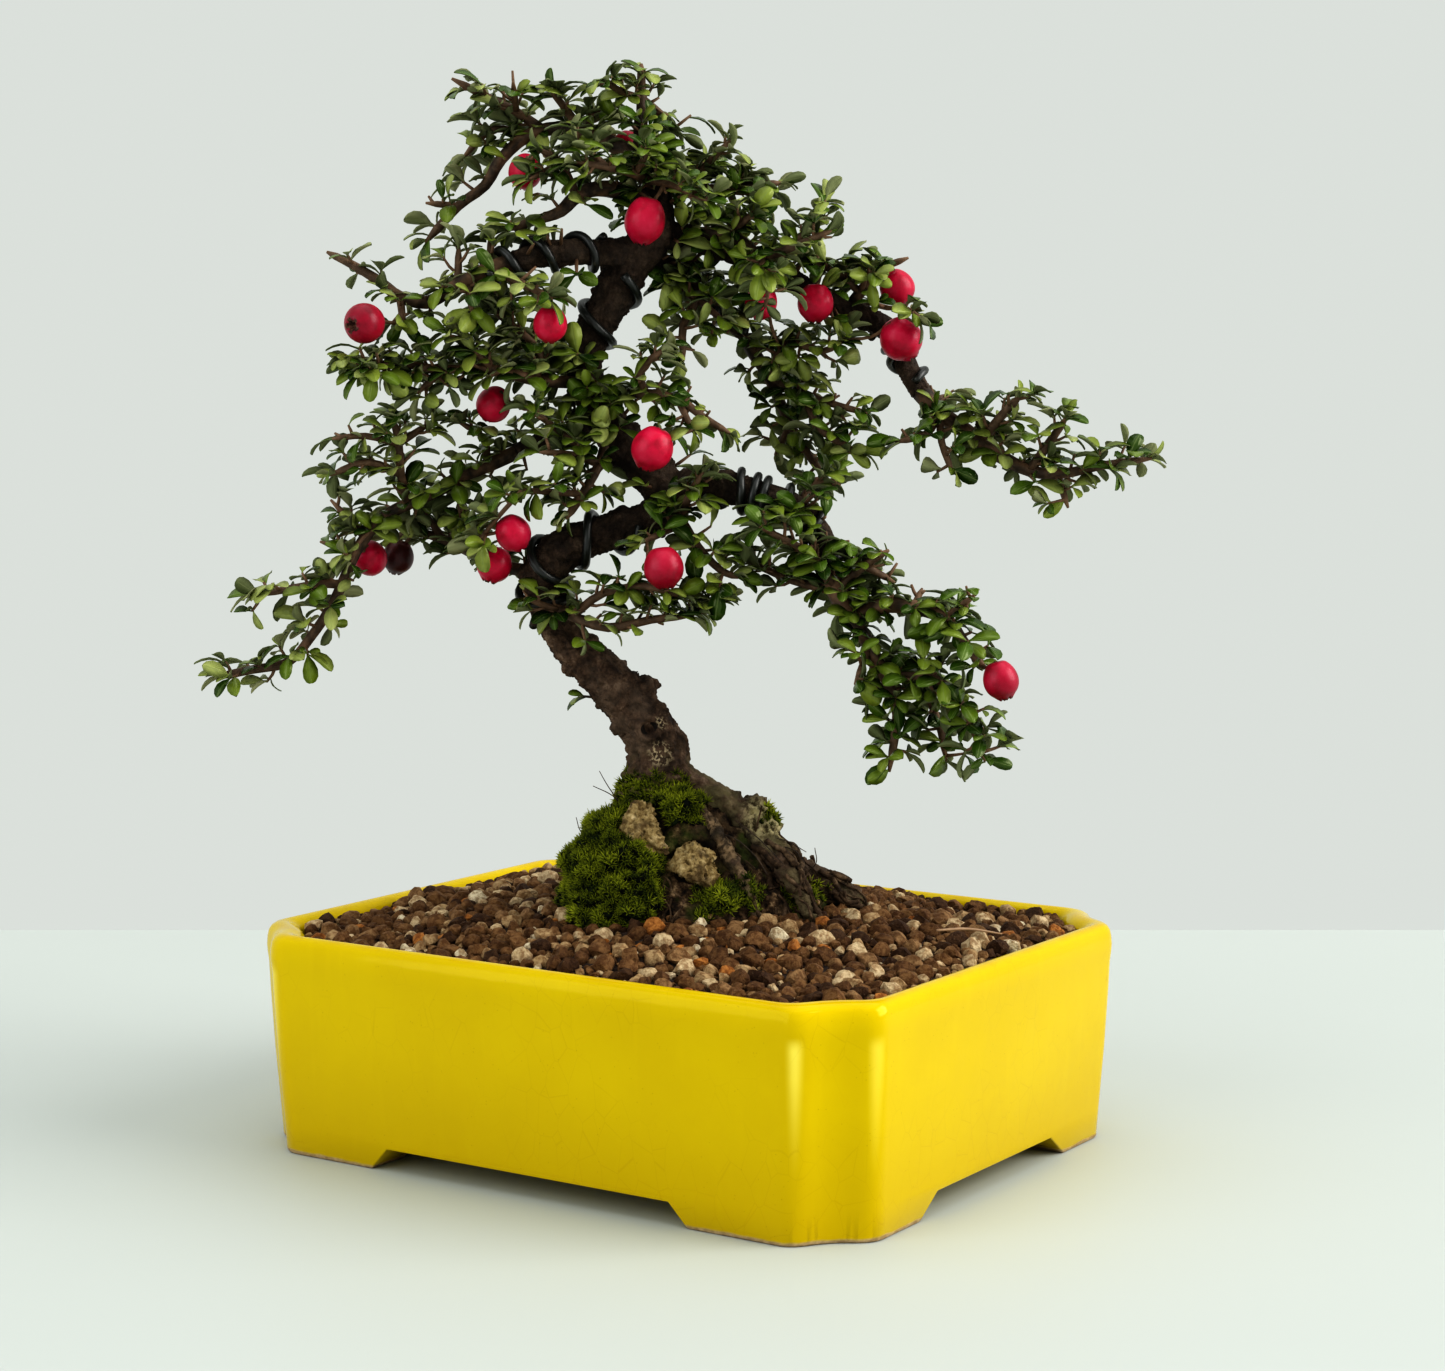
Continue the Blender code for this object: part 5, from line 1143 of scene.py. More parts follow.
# %% Gaps that light shows through, and the air round the crown: x, z and half width
OPENINGS = [
    (49.2, 116.7, 9.3), (7.6, 143.2, 4.6), (-34, 212.8, 9), (30.1, 121.3, 3.5), (-79.8, 120.2, 8.9),
    (92, 124, 7.5), (100.5, 133, 8), (70, 72.5, 6.5), (-91.5, 114.5, 5.5), (53.5, 166.6, 7.5),
    (58.5, 154.5, 8), (1.3, 201.1, 4.5), (46.5, 177.4, 9), (19, 195.5, 8.5), (78.8, 116.7, 9.2),
    (65, 107.4, 9.2), (-55.7, 101.6, 9.3), (-85.7, 79.5, 8), (-28.8, 131.7, 2.4), (-21.1, 177.4, 3),
    (-52.2, 209.5, 8.3), (46.9, 120.2, 9.1), (-35.9, 183.1, 2.4), (-34.8, 108, 2.4), (-50.8, 183.1, 2.7),
    (-11, 112.6, 2.3), (48.4, 149.5, 3.7), (-69.1, 140.9, 4.3), (-17.4, 105.6, 2.3), (28.2, 173.4, 2.2),
    (-77.3, 167.7, 9.1), (27.9, 89.3, 3.5), (44.1, 109.1, 2.8), (41.4, 69.9, 3), (-6.1, 214, 7.2),
    (30, 144.9, 2.1), (7, 154.1, 2.1), (40.4, 141.5, 3.1), (-71, 125.9, 2.2), (5.2, 120.2, 2.6),
    (-5.2, 95.7, 5.5), (3, 147.8, 3), (34.2, 122.5, 4.8), (-53.8, 167.2, 2.4), (-18.6, 208.4, 3.3),
    (-68, 181.9, 8.9), (13.9, 132.3, 2.4), (-86.6, 98.1, 3.9), (-42.9, 103.3, 7.9), (62.8, 97.5, 2.7),
    (-47.3, 192.6, 2.7), (34.4, 179.1, 4.3)]


def seen_from_front(point):
    """Where the line of sight to a point crosses the tree's middle plane."""
    return EYE + (point - EYE) * (EYE.y / (EYE.y - point.y))


# %% Wood that shows from the front, as shares of its line
shown_wood = []
for line, start, end in ((LEFT_UPPER, 0.05, 0.62), (TRUNK, 0.80, 0.90)):
    rows = resample(smooth_path(line, 6), 1.0)
    rows = rows[int(start * len(rows)):int(end * len(rows))]
    shown_wood += [(seen_from_front(row.xyz), row) for row in rows]


# %% Where a leaf may be
def in_opening(point, margin=0.0):
    """True where a point lies in the line of sight of an opening or of wood that shows."""
    seen = seen_from_front(point)
    if any((seen.x - x) ** 2 + (seen.z - z) ** 2 < (half + margin) ** 2 for x, z, half in OPENINGS):
        return True
    return any((seen - spot).length < row.w + 0.6 and point.y < row.y for spot, row in shown_wood)


def leaf_is_free(middle, tip):
    """False for a leaf inside wood or a fruit, in front of a fruit or in an opening."""
    if in_opening(middle, 0.6) or in_opening(tip):
        return False
    _, index, far = wood_tree.find(middle)
    if far < wood_rows[index].w + 0.5:
        return False
    for centre, radius, window in fruit_balls:
        away = middle - centre
        if away.length < radius + 1.5:
            return False
        view = (EYE - centre).normalized()
        ahead = away.dot(view)
        if window and 0 < ahead < 30 and (away - view * ahead).length < radius * window + 0.6:
            return False
    return True


# %% A rosette of leaves
def leaf_matrix(root, way, face, size):
    """A leaf's own frame: Y along the blade, Z out of its upper face."""
    face = (face - way * face.dot(way)).normalized()
    matrix = Matrix((way.cross(face), way, face)).transposed().to_4x4() @ Matrix.Scale(size, 4)
    matrix.translation = root
    return matrix


def jitter(draw, reach):
    """A random vector with each number between -reach and reach."""
    return Vector([draw.uniform(-reach, reach) for _ in range(3)])


def rosette(root, axis, count, draw, leaves, lean=(35, 75), spread=0.8):
    """Leaves round the end of a shoot."""
    side = axis.orthogonal().normalized()
    across = axis.cross(side)
    turn = draw.uniform(0, 2 * math.pi)
    for i in range(count):
        turn += GOLDEN + draw.uniform(-0.3, 0.3)
        out = side * math.cos(turn) + across * math.sin(turn)
        angle = math.radians(draw.uniform(*lean))
        way = axis * math.cos(angle) + out * math.sin(angle) + UP * draw.uniform(-0.25, 0.15)
        way = Vector((way.x, way.y, way.z * FLATTER)).normalized()
        face = axis * math.sin(angle) - out * math.cos(angle) + UP * 1.3 + jitter(draw, 0.4)
        size = draw.uniform(*LEAF_SIZE)
        base = root - axis * spread * i * 0.35
        if leaf_is_free(base + way * size * 0.6, base + way * size):
            leaves.append((draw.randrange(3), leaf_matrix(base, way, face, size), draw.random()))


# %% Shoots along a twig, and straight off the wood
# How far apart shoots stand on a spray and on single twigs of it, and a factor on its leaves'
# tones, above 1 for painted light and below 1 for painted shade, where they differ from the rest
APART = {"spray_far_left": 1.15, "spray_right_upper_end": 1.05, "spray_left_mid": 0.62,
         "spray_left_upper": 0.75, "spray_right_lower": 0.78, "spray_crown_front": 0.85,
         "spray_right_hang": 0.85}
BARE_TWIGS = {("spray_crown_left", 0): 2.6, ("spray_crown_low", 0): 2.4, ("spray_left_upper", 0): 1.9,
              ("spray_left_upper", 3): 2.2, ("spray_left_upper", 2): 1.6, ("spray_crown_low", 1): 1.3}
LEAF_LIGHT_AND_SHADE = {"spray_right_lower": 0.62, "spray_right_lower_top": 0.7, "spray_crown_front": 0.85,
            "spray_far_left": 1.15, "spray_left_upper": 1.15, "spray_left_mid": 1.1}
BARE_FOOT = 1.5
TWIG_STEP = 0.25


def grow(path, draw, lines, leaves, wider):
    """Shoots and leaves along one twig."""
    rows = resample(path, TWIG_STEP)
    turn = draw.uniform(0, 2 * math.pi)
    place = BARE_FOOT + draw.uniform(0, 1.5)
    while place < (len(rows) - 4) * TWIG_STEP:
        index = int(place / TWIG_STEP)
        row = rows[index]
        ahead = (rows[index + 3].xyz - rows[index].xyz).normalized()
        side = ahead.orthogonal().normalized()
        turn += GOLDEN
        out = side * math.cos(turn) + ahead.cross(side) * math.sin(turn)
        way = (ahead * 0.35 + out * 0.85 + UP * 0.35).normalized()
        length = draw.uniform(*SHOOT_LENGTH)
        bend = (way + UP * 0.25 + ahead * 0.2).normalized()
        tip = row.xyz + way * length * 0.5 + bend * length * 0.5
        before = len(leaves)
        rosette(tip, bend, draw.choice((3, 4, 4, 5, 5, 6)), draw, leaves)
        if len(leaves) > before or draw.random() < 0.15:
            lines.append([(*row.xyz, 0.36), (*(row.xyz + way * length * 0.5), 0.32), (*tip, 0.24)])
        place += draw.uniform(*SHOOT_GAP) * wider
    ahead = (rows[-1].xyz - rows[-5].xyz).normalized()
    rosette(rows[-1].xyz, ahead, 5, draw, leaves, (18, 62), 1.2)


def shoots_off_wood(line, start, end, gap, draw, lines, leaves):
    """Short shoots straight from the bark, most of them to the front and up."""
    rows = resample(smooth_path(line, 6), 0.5)
    first, last = int(start * (len(rows) - 1)), int(end * (len(rows) - 1))
    place = float(first)
    while place < last:
        row = rows[int(place)]
        out = Vector((draw.uniform(-0.7, 0.7), draw.uniform(-1.0, 0.35), draw.uniform(-0.5, 1.0)))
        ahead = (rows[min(int(place) + 2, len(rows) - 1)].xyz - rows[int(place) - 2].xyz).normalized()
        out = (out - ahead * out.dot(ahead) * 0.7).normalized()
        foot = row.xyz + out * row.w * 0.8
        tip = row.xyz + out * (row.w + draw.uniform(1.6, 5.0)) + ahead * draw.uniform(-0.6, 1.4)
        before = len(leaves)
        rosette(tip, (tip - foot).normalized(), draw.choice((3, 4, 5, 5, 6)), draw, leaves)
        if len(leaves) > before:
            lines.append([(*foot, 0.40), (*foot.lerp(tip, 0.55), 0.34), (*tip, 0.24)])
        place += draw.uniform(*gap) * 2


# %% [markdown]
# ## Leaves and twigs
# The upper face of a leaf is waxy and dark green, with a paler midrib and edge. The underside is
# pale and dull. No two leaves have quite the same green, and the tone that each copy carries
# picks it. Twigs are darker where they are old, and red-brown where they are thin and young.

# %% Leaf material
leaf = Look("leaf_green", Specular_IOR_Level=0.50, Specular_Tint=(0.95, 1.0, 0.62, 1.0))
tone, under = leaf.attribute("tone"), leaf.attribute("under")
across = leaf.node("SeparateXYZ", {}, {0: leaf.node("TexCoord", out="UV")})
beside = leaf.math("ABSOLUTE", across - 0.5)
rib = 1 - leaf.rise(beside, 0.02, 0.06)
upper = leaf.ramp(tone, [
    (0.0, (0.022, 0.055, 0.006)), (0.25, (0.070, 0.130, 0.012)), (0.50, (0.160, 0.220, 0.023)),
    (0.75, (0.250, 0.300, 0.055)), (1.0, (0.35, 0.39, 0.130))])
upper = leaf.mix(leaf.rise(leaf.noise(500.0, 3.0), 0.45, 0.72) * 0.28, upper, (0.022, 0.048, 0.006))
upper = leaf.mix((rib + leaf.rise(beside, 0.455, 0.50)) * 0.30, upper, (0.22, 0.27, 0.10))
lower = leaf.ramp(tone, [
    (0.0, (0.095, 0.115, 0.050)), (0.6, (0.18, 0.205, 0.100)), (1.0, (0.30, 0.31, 0.17))])
lower = leaf.mix(rib * 0.35, lower, (0.26, 0.28, 0.15))
leaf_material = leaf.end(Base_Color=leaf.mix(under, upper, lower),
                         Roughness=0.21 + under * 0.45 + tone * 0.16,
                         Normal=leaf.bump(rib * -0.6 + leaf.noise(900.0) * 0.4, 0.00012, 0.5))

# %% Twig material
twig = Look("twig_bark", Specular_IOR_Level=0.4)
twig_grain = twig.noise(650.0, 4.0)
twig_tone = twig.ramp(twig_grain, [
    (0.30, (0.014, 0.009, 0.005)), (0.52, (0.044, 0.028, 0.017)), (0.74, (0.125, 0.083, 0.052))])
young_tone = twig.mix(twig_grain, (0.10, 0.050, 0.024), (0.34, 0.20, 0.115))
twig_tone = twig.mix(twig.attribute("young") * 0.70, twig_tone, young_tone)
twig_material = twig.end(Base_Color=twig_tone, Roughness=0.55 + twig_grain * 0.25,
                         Normal=twig.bump(twig_grain, 0.0003, 0.7))

# %% [markdown]
# ## The crown grows
# Each spray is grown twig by twig, with its own seed, so a change in one doesn't stir the rest.
# Its twigs become one mesh of rods and its leaves another. Every mesh of leaves stands for one
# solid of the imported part.

# %% Grow every spray
# Leaves straight off the wood: spray, line, start and end along it as shares, gap in millimetres
OFF_WOOD = [("spray_right_shoulder", BRANCHES["right_upper"], 0.04, 0.62, (0.7, 1.3)),
            ("spray_right_hang", BRANCHES["right_hang"], 0.15, 1.0, (0.8, 1.6)),
            ("spray_right_lower", BRANCHES["right_lower"], 0.62, 1.0, (0.9, 1.7)),
            ("spray_left_upper", BRANCHES["left_upper"], 0.55, 1.0, (1.0, 2.0)),
            ("spray_left_mid", BRANCHES["far_left"], 0.2, 1.0, (1.0, 2.0)),
            ("spray_centre_right", TRUNK, 0.600, 0.715, (0.8, 1.4)),
            ("spray_crown_front", TRUNK, 0.865, 0.995, (0.7, 1.3)),
            ("spray_centre", TRUNK, 0.505, 0.56, (1.2, 2.2))]
total = 0
for name, twigs in SPRAYS.items():
    draw = random.Random(name)
    lines, leaves = list(stalk_lines[name]), []
    for number, path in enumerate(twig_paths[name]):
        lines.append(path[:-1] + [Vector((*path[-1].xyz, path[-1].w * 0.4))])
        grow(path, draw, lines, leaves, BARE_TWIGS.get((name, number), 1.0) * APART.get(name, 1.0))
    for spray, line, start, end, gap in OFF_WOOD:
        if spray == name:
            shoots_off_wood(line, start, end, gap, draw, lines, leaves)
    twigs_piece = rods(name.replace("spray", "twigs"), lines)
    widths = [row[3] for path in lines for row in path]
    ages = KDTree(len(widths))
    for i, row in enumerate(row for path in lines for row in path):
        ages.insert(Vector(row[:3]), i)
    ages.balance()
    young = twigs_piece.data.attributes.new("young", "FLOAT", "POINT")
    for vert in twigs_piece.data.vertices:
        young.data[vert.index].value = share(1.3 - widths[ages.find(TO_TREE @ vert.co)[1]])
    dress(smooth(twigs_piece), twig_material, "bark")
    # Painted light and shade: each spray's leaf tones are scaled by its factor
    leaf_light_and_shade = LEAF_LIGHT_AND_SHADE.get(name, 1.0)
    leaves = [(which, matrix, min(1.0, tone * leaf_light_and_shade)) for which, matrix, tone in leaves]
    dress(stamp(name.replace("spray", "leaves"), leaf_patterns, leaves), leaf_material, "leaf", name)
    total += len(leaves)
print("leaves:", total)

# %% [markdown]
# ## Sprigs on the trunk
# A few stray leaves sprout straight from the old trunk, on shoots as thin as a pin. They are made
# with the same rosette as the rest, because they are the same leaves.

# %% Sprigs on the trunk
SPRIGS = [((-16.8, -2.0, 86.8), (-20.4, -3.4, 87.3)), ((-26.5, -6.0, 104.0), (-30.0, -8.0, 105.5))]
sprig_lines, sprig_leaves = [], []
sprig_draw = random.Random(5)
for start, end in SPRIGS:
    sprig_lines.append(smooth_path([(*start, 0.34), (*end, 0.24)], 4))
    ahead = (Vector(end) - Vector(start)).normalized()
    rosette(Vector(end), ahead, 3, sprig_draw, sprig_leaves, (20, 60), 1.0)
dress(smooth(rods("trunk_sprig_twigs", sprig_lines)), twig_material, "bark")
dress(stamp("trunk_sprig_leaves", leaf_patterns, sprig_leaves), leaf_material, "leaf")

# %% [markdown]
# ## Root mound
# The ball of old roots stands proud of the soil, and years of watering have washed it bare. The
# solid's dome is remeshed and roughened with ridges that run down it. Relief alone looks like a
# rock, so root threads also creep over it, from the trunk's flare to the soil.


# %% Remesh and roughen
def melted(node, name, voxel, soft):
    """A fine, softened copy of a solid."""
    piece = copy_of_solid(node, name)
    modifier(piece, "REMESH", mode="VOXEL", voxel_size=voxel)
    modifier(piece, "SMOOTH", iterations=soft, factor=0.5)
    return piece


def mound_relief(here):
    round_it = math.atan2(here.y, here.x)
    fibres = crests(Vector((round_it * 5.5, here.z * 0.10, 3.0)), 2.4)
    clods = noise.noise(here * 0.28) * 1.3 + crests(here * 0.75, 2.5) * 0.6
    return fibres * 0.5 + clods * 0.85 + noise.noise(here * 2.2) * 0.3


SOFT_VOXEL, STONE_VOXEL = 0.0006, 0.00035
mound = melted("root_mound", "earthy_mound", SOFT_VOXEL, 8)
push_out(mound, mound_relief)

earth = Look("root_earth", Specular_IOR_Level=0.2)
crumbs = earth.noise(520.0, 5.0, 0.65)
soil_tone = earth.ramp(crumbs, [(0.36, (0.004, 0.002, 0.001)), (0.48, (0.030, 0.017, 0.009)),
                                (0.60, (0.120, 0.074, 0.040)), (0.72, (0.36, 0.255, 0.150))])
blotch = earth.rise(earth.noise(150.0, 4.0), 0.52, 0.66)
soil_tone = earth.mix(blotch * 0.45, soil_tone, (0.15, 0.105, 0.060))
# Painted shade: the hollow under the burl is nearly black
hollow_shade = earth.near((6.5, -12.0, 58.0), 9.5) * earth.rise(earth.noise(260.0, 4.0, 0.65), 0.40, 0.54)
soil_tone = earth.mix(hollow_shade * 0.9, soil_tone, (0.005, 0.003, 0.001))
green = earth.rise(earth.noise(110.0, 3.0), 0.50, 0.64)
soil_tone = earth.mix(green * 0.6, soil_tone, (0.055, 0.075, 0.012))
earth_material = earth.end(Base_Color=soil_tone, Roughness=0.85 + crumbs * 0.1,
                           Normal=earth.bump(crumbs, 0.0009))
dress(mound, earth_material, "root_earth", "root_mound")
mound_skin = skin_of(mound, TO_TREE)

# %% Root threads over the mound
wood_skin = skin_of(wood, TO_TREE)


def near_root_or_mound(spot):
    """Nearest place on the outside of the roots or the mound."""
    found = [skin.find_nearest(spot) for skin in (mound_skin, wood_skin)]
    place, normal, _, _ = min(found, key=lambda hit: hit[3])
    return place + normal * 0.2


thread_draw = random.Random(21)
threads = []
for i in range(46):
    angle = thread_draw.uniform(0, 2 * math.pi)
    radius = thread_draw.choice((0.22, 0.3, 0.4, 0.55, 0.8))
    height = thread_draw.uniform(58, 69)
    rows = []
    while height > 44:
        far = 6 + (70 - height) * 0.95
        guess = Vector((-2.5 + far * math.cos(angle), 0.8 * far * math.sin(angle), height))
        spot, normal, _, _ = mound_skin.find_nearest(guess)
        rows.append((*(spot + normal * radius * 0.45), radius * thread_draw.uniform(0.8, 1.15)))
        angle += thread_draw.uniform(-0.16, 0.16)
        height -= thread_draw.uniform(1.8, 3.2)
    threads.append([tuple(row) for row in smooth_path(rows, 4)])
# A tangle where the roots on the right dive into the soil
for i in range(70):
    spot = Vector((thread_draw.uniform(9, 29), thread_draw.uniform(-18, -3), thread_draw.uniform(46, 60)))
    radius, rows = thread_draw.choice((0.16, 0.22, 0.3, 0.42, 0.6)), []
    way = Vector([thread_draw.uniform(*reach) for reach in ((0.2, 1.0), (-0.6, 0.3), (-0.9, -0.1))])
    for _ in range(thread_draw.choice((4, 5, 6))):
        spot = near_root_or_mound(spot) + Vector((0, 0, radius * 0.4))
        rows.append((*spot, radius * thread_draw.uniform(0.8, 1.2)))
        way = (way + jitter(thread_draw, 0.5)).normalized()
        spot = spot + way * thread_draw.uniform(1.6, 2.8)
    threads.append([tuple(row) for row in smooth_path(rows, 4)])
fibre = Look("root_fibre", Specular_IOR_Level=0.25)
fibre_grain = fibre.noise(480.0, 4.0, 0.65)
fibre_tone = fibre.ramp(fibre_grain, [
    (0.30, (0.012, 0.007, 0.004)), (0.50, (0.060, 0.036, 0.020)), (0.72, (0.22, 0.150, 0.090))])
fibre_material = fibre.end(Base_Color=fibre_tone, Roughness=0.85, Normal=fibre.bump(fibre_grain, 0.0004, 0.8))
dress(smooth(rods("root_threads", threads)), fibre_material, "bark")
print("root threads:", len(threads))

# %% Hair roots that stand off the mound, and fine ones at the right foot
HAIRS = [
    [(-11.5, -7, 65), (-14.6, -7, 68.4), (-18.4, -7.4, 70.4)],
    [(-12, -6, 65), (-15.4, -6.4, 70), (-17.2, -6.6, 73.2)],
    [(-17, -8, 58), (-20.6, -8.4, 61.5), (-21.6, -8.6, 64.5)],
    [(14.5, -8, 60.5), (18.6, -8.6, 60), (22.6, -9, 57.8)],
    [(16, -9, 59.5), (20.6, -9.4, 58), (21.6, -9.6, 55.2)],
    [(21.5, -9, 53), (24.4, -9.6, 55.6), (24.2, -10, 58.8)],
    [(6, -12, 62), (9.5, -15, 61), (13, -17, 58), (15, -18.5, 55)],
    [(9, -9, 64), (14, -13, 60.5), (18, -15, 56.5)],
]
hairs = [[(*row.xyz, row.w) for row in smooth_path(tapered(hair, 0.13, 0.07), 5)] for hair in HAIRS]
dress(smooth(rods("hair_roots", hairs)), twig_material, "bark")

# %% [markdown]
# ## Stones
# Two lumps of porous tan stone are wedged among the roots. A smooth lump would pass for a bean,
# so it is first flattened against a dozen random planes, which gives it broken faces. Then pits
# and crags are pressed into it.


# %% Porous stones
def stone_relief(here):
    pits = max(0.0, noise.noise(here * 1.7) - 0.14)
    crags = crests(here * 0.55 + Vector((4, 0, 2)), 2.6)
    return noise.noise(here * 0.24) * 0.9 + crags * 0.55 + noise.noise(here * 2.3) * 0.40 - pits * 1.7


stone = Look("tan_stone", Specular_IOR_Level=0.2)
stone_grain = stone.noise(650.0, 5.0, 0.65)
stone_tone = stone.ramp(stone_grain, [
    (0.30, (0.050, 0.030, 0.010)), (0.42, (0.20, 0.135, 0.055)),
    (0.56, (0.37, 0.275, 0.130)), (0.72, (0.62, 0.49, 0.29))])
stain = stone.rise(stone.noise(230.0, 4.0), 0.52, 0.64)
stone_tone = stone.mix(stain * 0.70, stone_tone, (0.090, 0.056, 0.026))
pits = 1 - stone.rise(stone.cells(620.0), 0.10, 0.34)
pitted = pits * stone.rise(stone.noise(240.0), 0.42, 0.58)
stone_tone = stone.mix(pitted * 0.7, stone_tone, (0.05, 0.034, 0.022))
stone_material = stone.end(Base_Color=stone_tone, Roughness=0.9,
                           Normal=stone.bump(stone_grain - pits * 0.5, 0.0008, 0.9))


def chipped(piece, seed, count, reach, wide, taper):
    """Flatten a lump against random planes, square its foot and narrow its top.

    The planes lie at a share of its half size, between the two numbers of reach."""
    spots = vertex_rows(piece.data, "co")
    middle, half = (spots.max(0) + spots.min(0)) / 2, (spots.max(0) - spots.min(0)) / 2
    unit = (spots - middle) / half
    chips = np.random.default_rng(seed)
    for _ in range(count):
        way = chips.normal(size=3)
        way /= np.linalg.norm(way)
        past = np.maximum(0.0, unit @ way - chips.uniform(*reach))
        unit -= past[:, None] * way
    low = np.clip(-unit[:, 2:], 0, 0.80)
    unit[:, :2] *= (1 - taper * np.clip(unit[:, 2:] * 0.5 + 0.3, 0, 1)) / np.sqrt(1 - low ** 2)
    set_vertex_places(piece.data, middle + unit * half * (wide, 1.1, 1.1))


for seed, name, wide, taper in ((3, "stone_upper", 1.32, 0.72), (11, "stone_lower", 1.22, 0.45)):
    rock = melted(name, name.replace("stone", "rock"), STONE_VOXEL, 3)
    chipped(rock, seed, 12, (0.52, 0.86), wide, taper)
    dress(push_out(rock, stone_relief), stone_material, "tan_stone", name)


# %% [markdown]
# ## Moss
# Moss has crept over the mound's damp side. It could be fur made of hair particles, but up close
# it is tiny shoots, each a whorl of pointed leaves. So one tuft is modelled and stamped all over
# the soft cushions, and thinly on the mound and along the trunk's foot.

# %% One moss tuft
def tuft_pattern():
    """Whorl of pointed leaves, 1 high, round an upright one. The UV map's V is the height."""
    spikes = []
    for i in range(9):
        lean = 0.0 if i == 0 else math.radians(38 if i % 2 else 58)
        turn = 2 * math.pi * i / 8
        tall = 1.0 if i == 0 else 0.9
        spike = settle(primitive(bpy.ops.mesh.primitive_cone_add, "spike", vertices=3, radius1=0.13,
                                 radius2=0.0, depth=tall, location=(0, 0, tall / 2)))
        for loop, coords in zip(spike.data.loops, spike.data.uv_layers[0].data):
            coords.uv = (0.5, spike.data.vertices[loop.vertex_index].co.z)
        spike.data.transform(Matrix.Rotation(turn, 4, "Z") @ Matrix.Rotation(lean, 4, "Y"))
        spikes.append(spike)
    return join("tuft_pattern", spikes)


tuft = tuft_pattern()


def surface_spots(piece, per_mm2, draw, keep):
    """Random places on a piece, in the tree's frame, that pass a test."""
    mesh = piece.data
    mesh.calc_loop_triangles()
    found = []
    for triangle in mesh.loop_triangles:
        want = triangle.area / MM ** 2 * per_mm2
        count = int(want) + (draw.random() < want % 1)
        corners = [TO_TREE @ mesh.vertices[i].co for i in triangle.vertices]
        normal = (TO_TREE.to_3x3() @ triangle.normal).normalized()
        for _ in range(count):
            a, b = draw.random(), draw.random()
            if a + b > 1:
                a, b = 1 - a, 1 - b
            spot = corners[0] + (corners[1] - corners[0]) * a + (corners[2] - corners[0]) * b
            if keep(spot, normal):
                found.append((spot, normal))
    return found


TUFT_SIZE = (0.95, 2.2)


def tuft_places(spots, draw):
    """A turned tuft for every spot."""
    places = []
    for spot, normal in spots:
        way = (normal + UP * 0.5 + jitter(draw, 0.3)).normalized()
        turn = way.to_track_quat("Z", "Y").to_matrix().to_4x4()
        turn = turn @ Matrix.Rotation(draw.uniform(0, FULL_TURN), 4, "Z")
        patch = 0.5 + 0.5 * noise.noise(spot * 0.22)
        tall = draw.uniform(*TUFT_SIZE) * (0.7 + 0.5 * patch)
        places.append((0, Matrix.Translation(spot - way * 0.15) @ turn @ Matrix.Scale(tall, 4),
                       share(0.55 * patch + 0.45 * draw.random())))
    return places


# %% Moss cushions
moss = Look("moss", Specular_IOR_Level=0.2)
# Lighter towards the tips and nearly black at the base: the young tips are paler, and the dark bases are
# painted shade
tip = moss.node("SeparateXYZ", {}, {0: moss.node("TexCoord", out="UV")}, out=1)
moss_tone = moss.ramp(moss.attribute("tone") * 0.55 + tip * 0.45, [
    (0.22, (0.002, 0.004, 0.001)), (0.40, (0.040, 0.056, 0.002)), (0.60, (0.185, 0.215, 0.010)),
    (0.80, (0.44, 0.47, 0.034))])
damp = moss.rise(moss.noise(240.0, 3.0), 0.45, 0.68)
moss_tone = moss.mix(damp * 0.50, moss_tone, (0.018, 0.034, 0.003))
moss_material = moss.end(Base_Color=moss_tone, Roughness=0.75 + tip * 0.1,
                         Normal=moss.bump(moss.noise(1500.0), 0.0003, 0.5))


def cushion_relief(here):
    return noise.noise(here * 0.26) * 1.9 + crests(here * 0.42, 2.6) - 0.8


RIM_TOP = 43
MOSS_TOP = 73
tufts = []
tuft_draw = random.Random(8)
for name in ("moss_left", "moss_crest", "moss_right"):
    cushion = melted(name, name.replace("moss", "cushion"), SOFT_VOXEL, 6)
    dress(push_out(cushion, cushion_relief), moss_material, "moss", name)
    tufts += surface_spots(cushion, 1.8, tuft_draw,
                           lambda spot, normal: normal.z > -0.35 and spot.z > RIM_TOP)

# Moss also creeps over the mound's top and front: middle and reach of each patch
PATCHES = [((-11, -6, 68), 5.5), ((-5, -9, 69), 5.5), ((-9, -18, 52), 5.0), ((5, -18, 50), 4.5),
           ((11, -17, 51), 3.5), ((-12, 10, 58), 10.0), ((4, 14, 54), 6.0), ((19, -12, 49), 3.0),
           ((24, -8, 50), 2.5), ((15, -6, 64), 2.2)]


def in_patch(spot, normal):
    """True inside a patch, with a ragged edge."""
    ragged = 2.2 * noise.noise(spot * 0.5)
    inside = any((spot - Vector(middle)).length < reach + ragged for middle, reach in PATCHES)
    return normal.z > -0.2 and inside


for piece in (mound, wood):
    tufts += surface_spots(piece, 1.6 if piece is mound else 1.2, tuft_draw,
                           lambda spot, normal: spot.z < MOSS_TOP and in_patch(spot, normal))
dress(stamp("moss_tufts", [tuft], tuft_places(tufts, tuft_draw)), moss_material, "moss")
print("moss tufts:", len(tufts))

# %% [markdown]
# ## Loose granules
# The soil is a mix of baked clay, pumice and a few pale stones, 2 to 5 mm across. Six grain
# shapes are made from a rounded ball. Grains are dropped one after another on the solid's
# surface wherever there is room, large ones first and then small ones in the gaps.


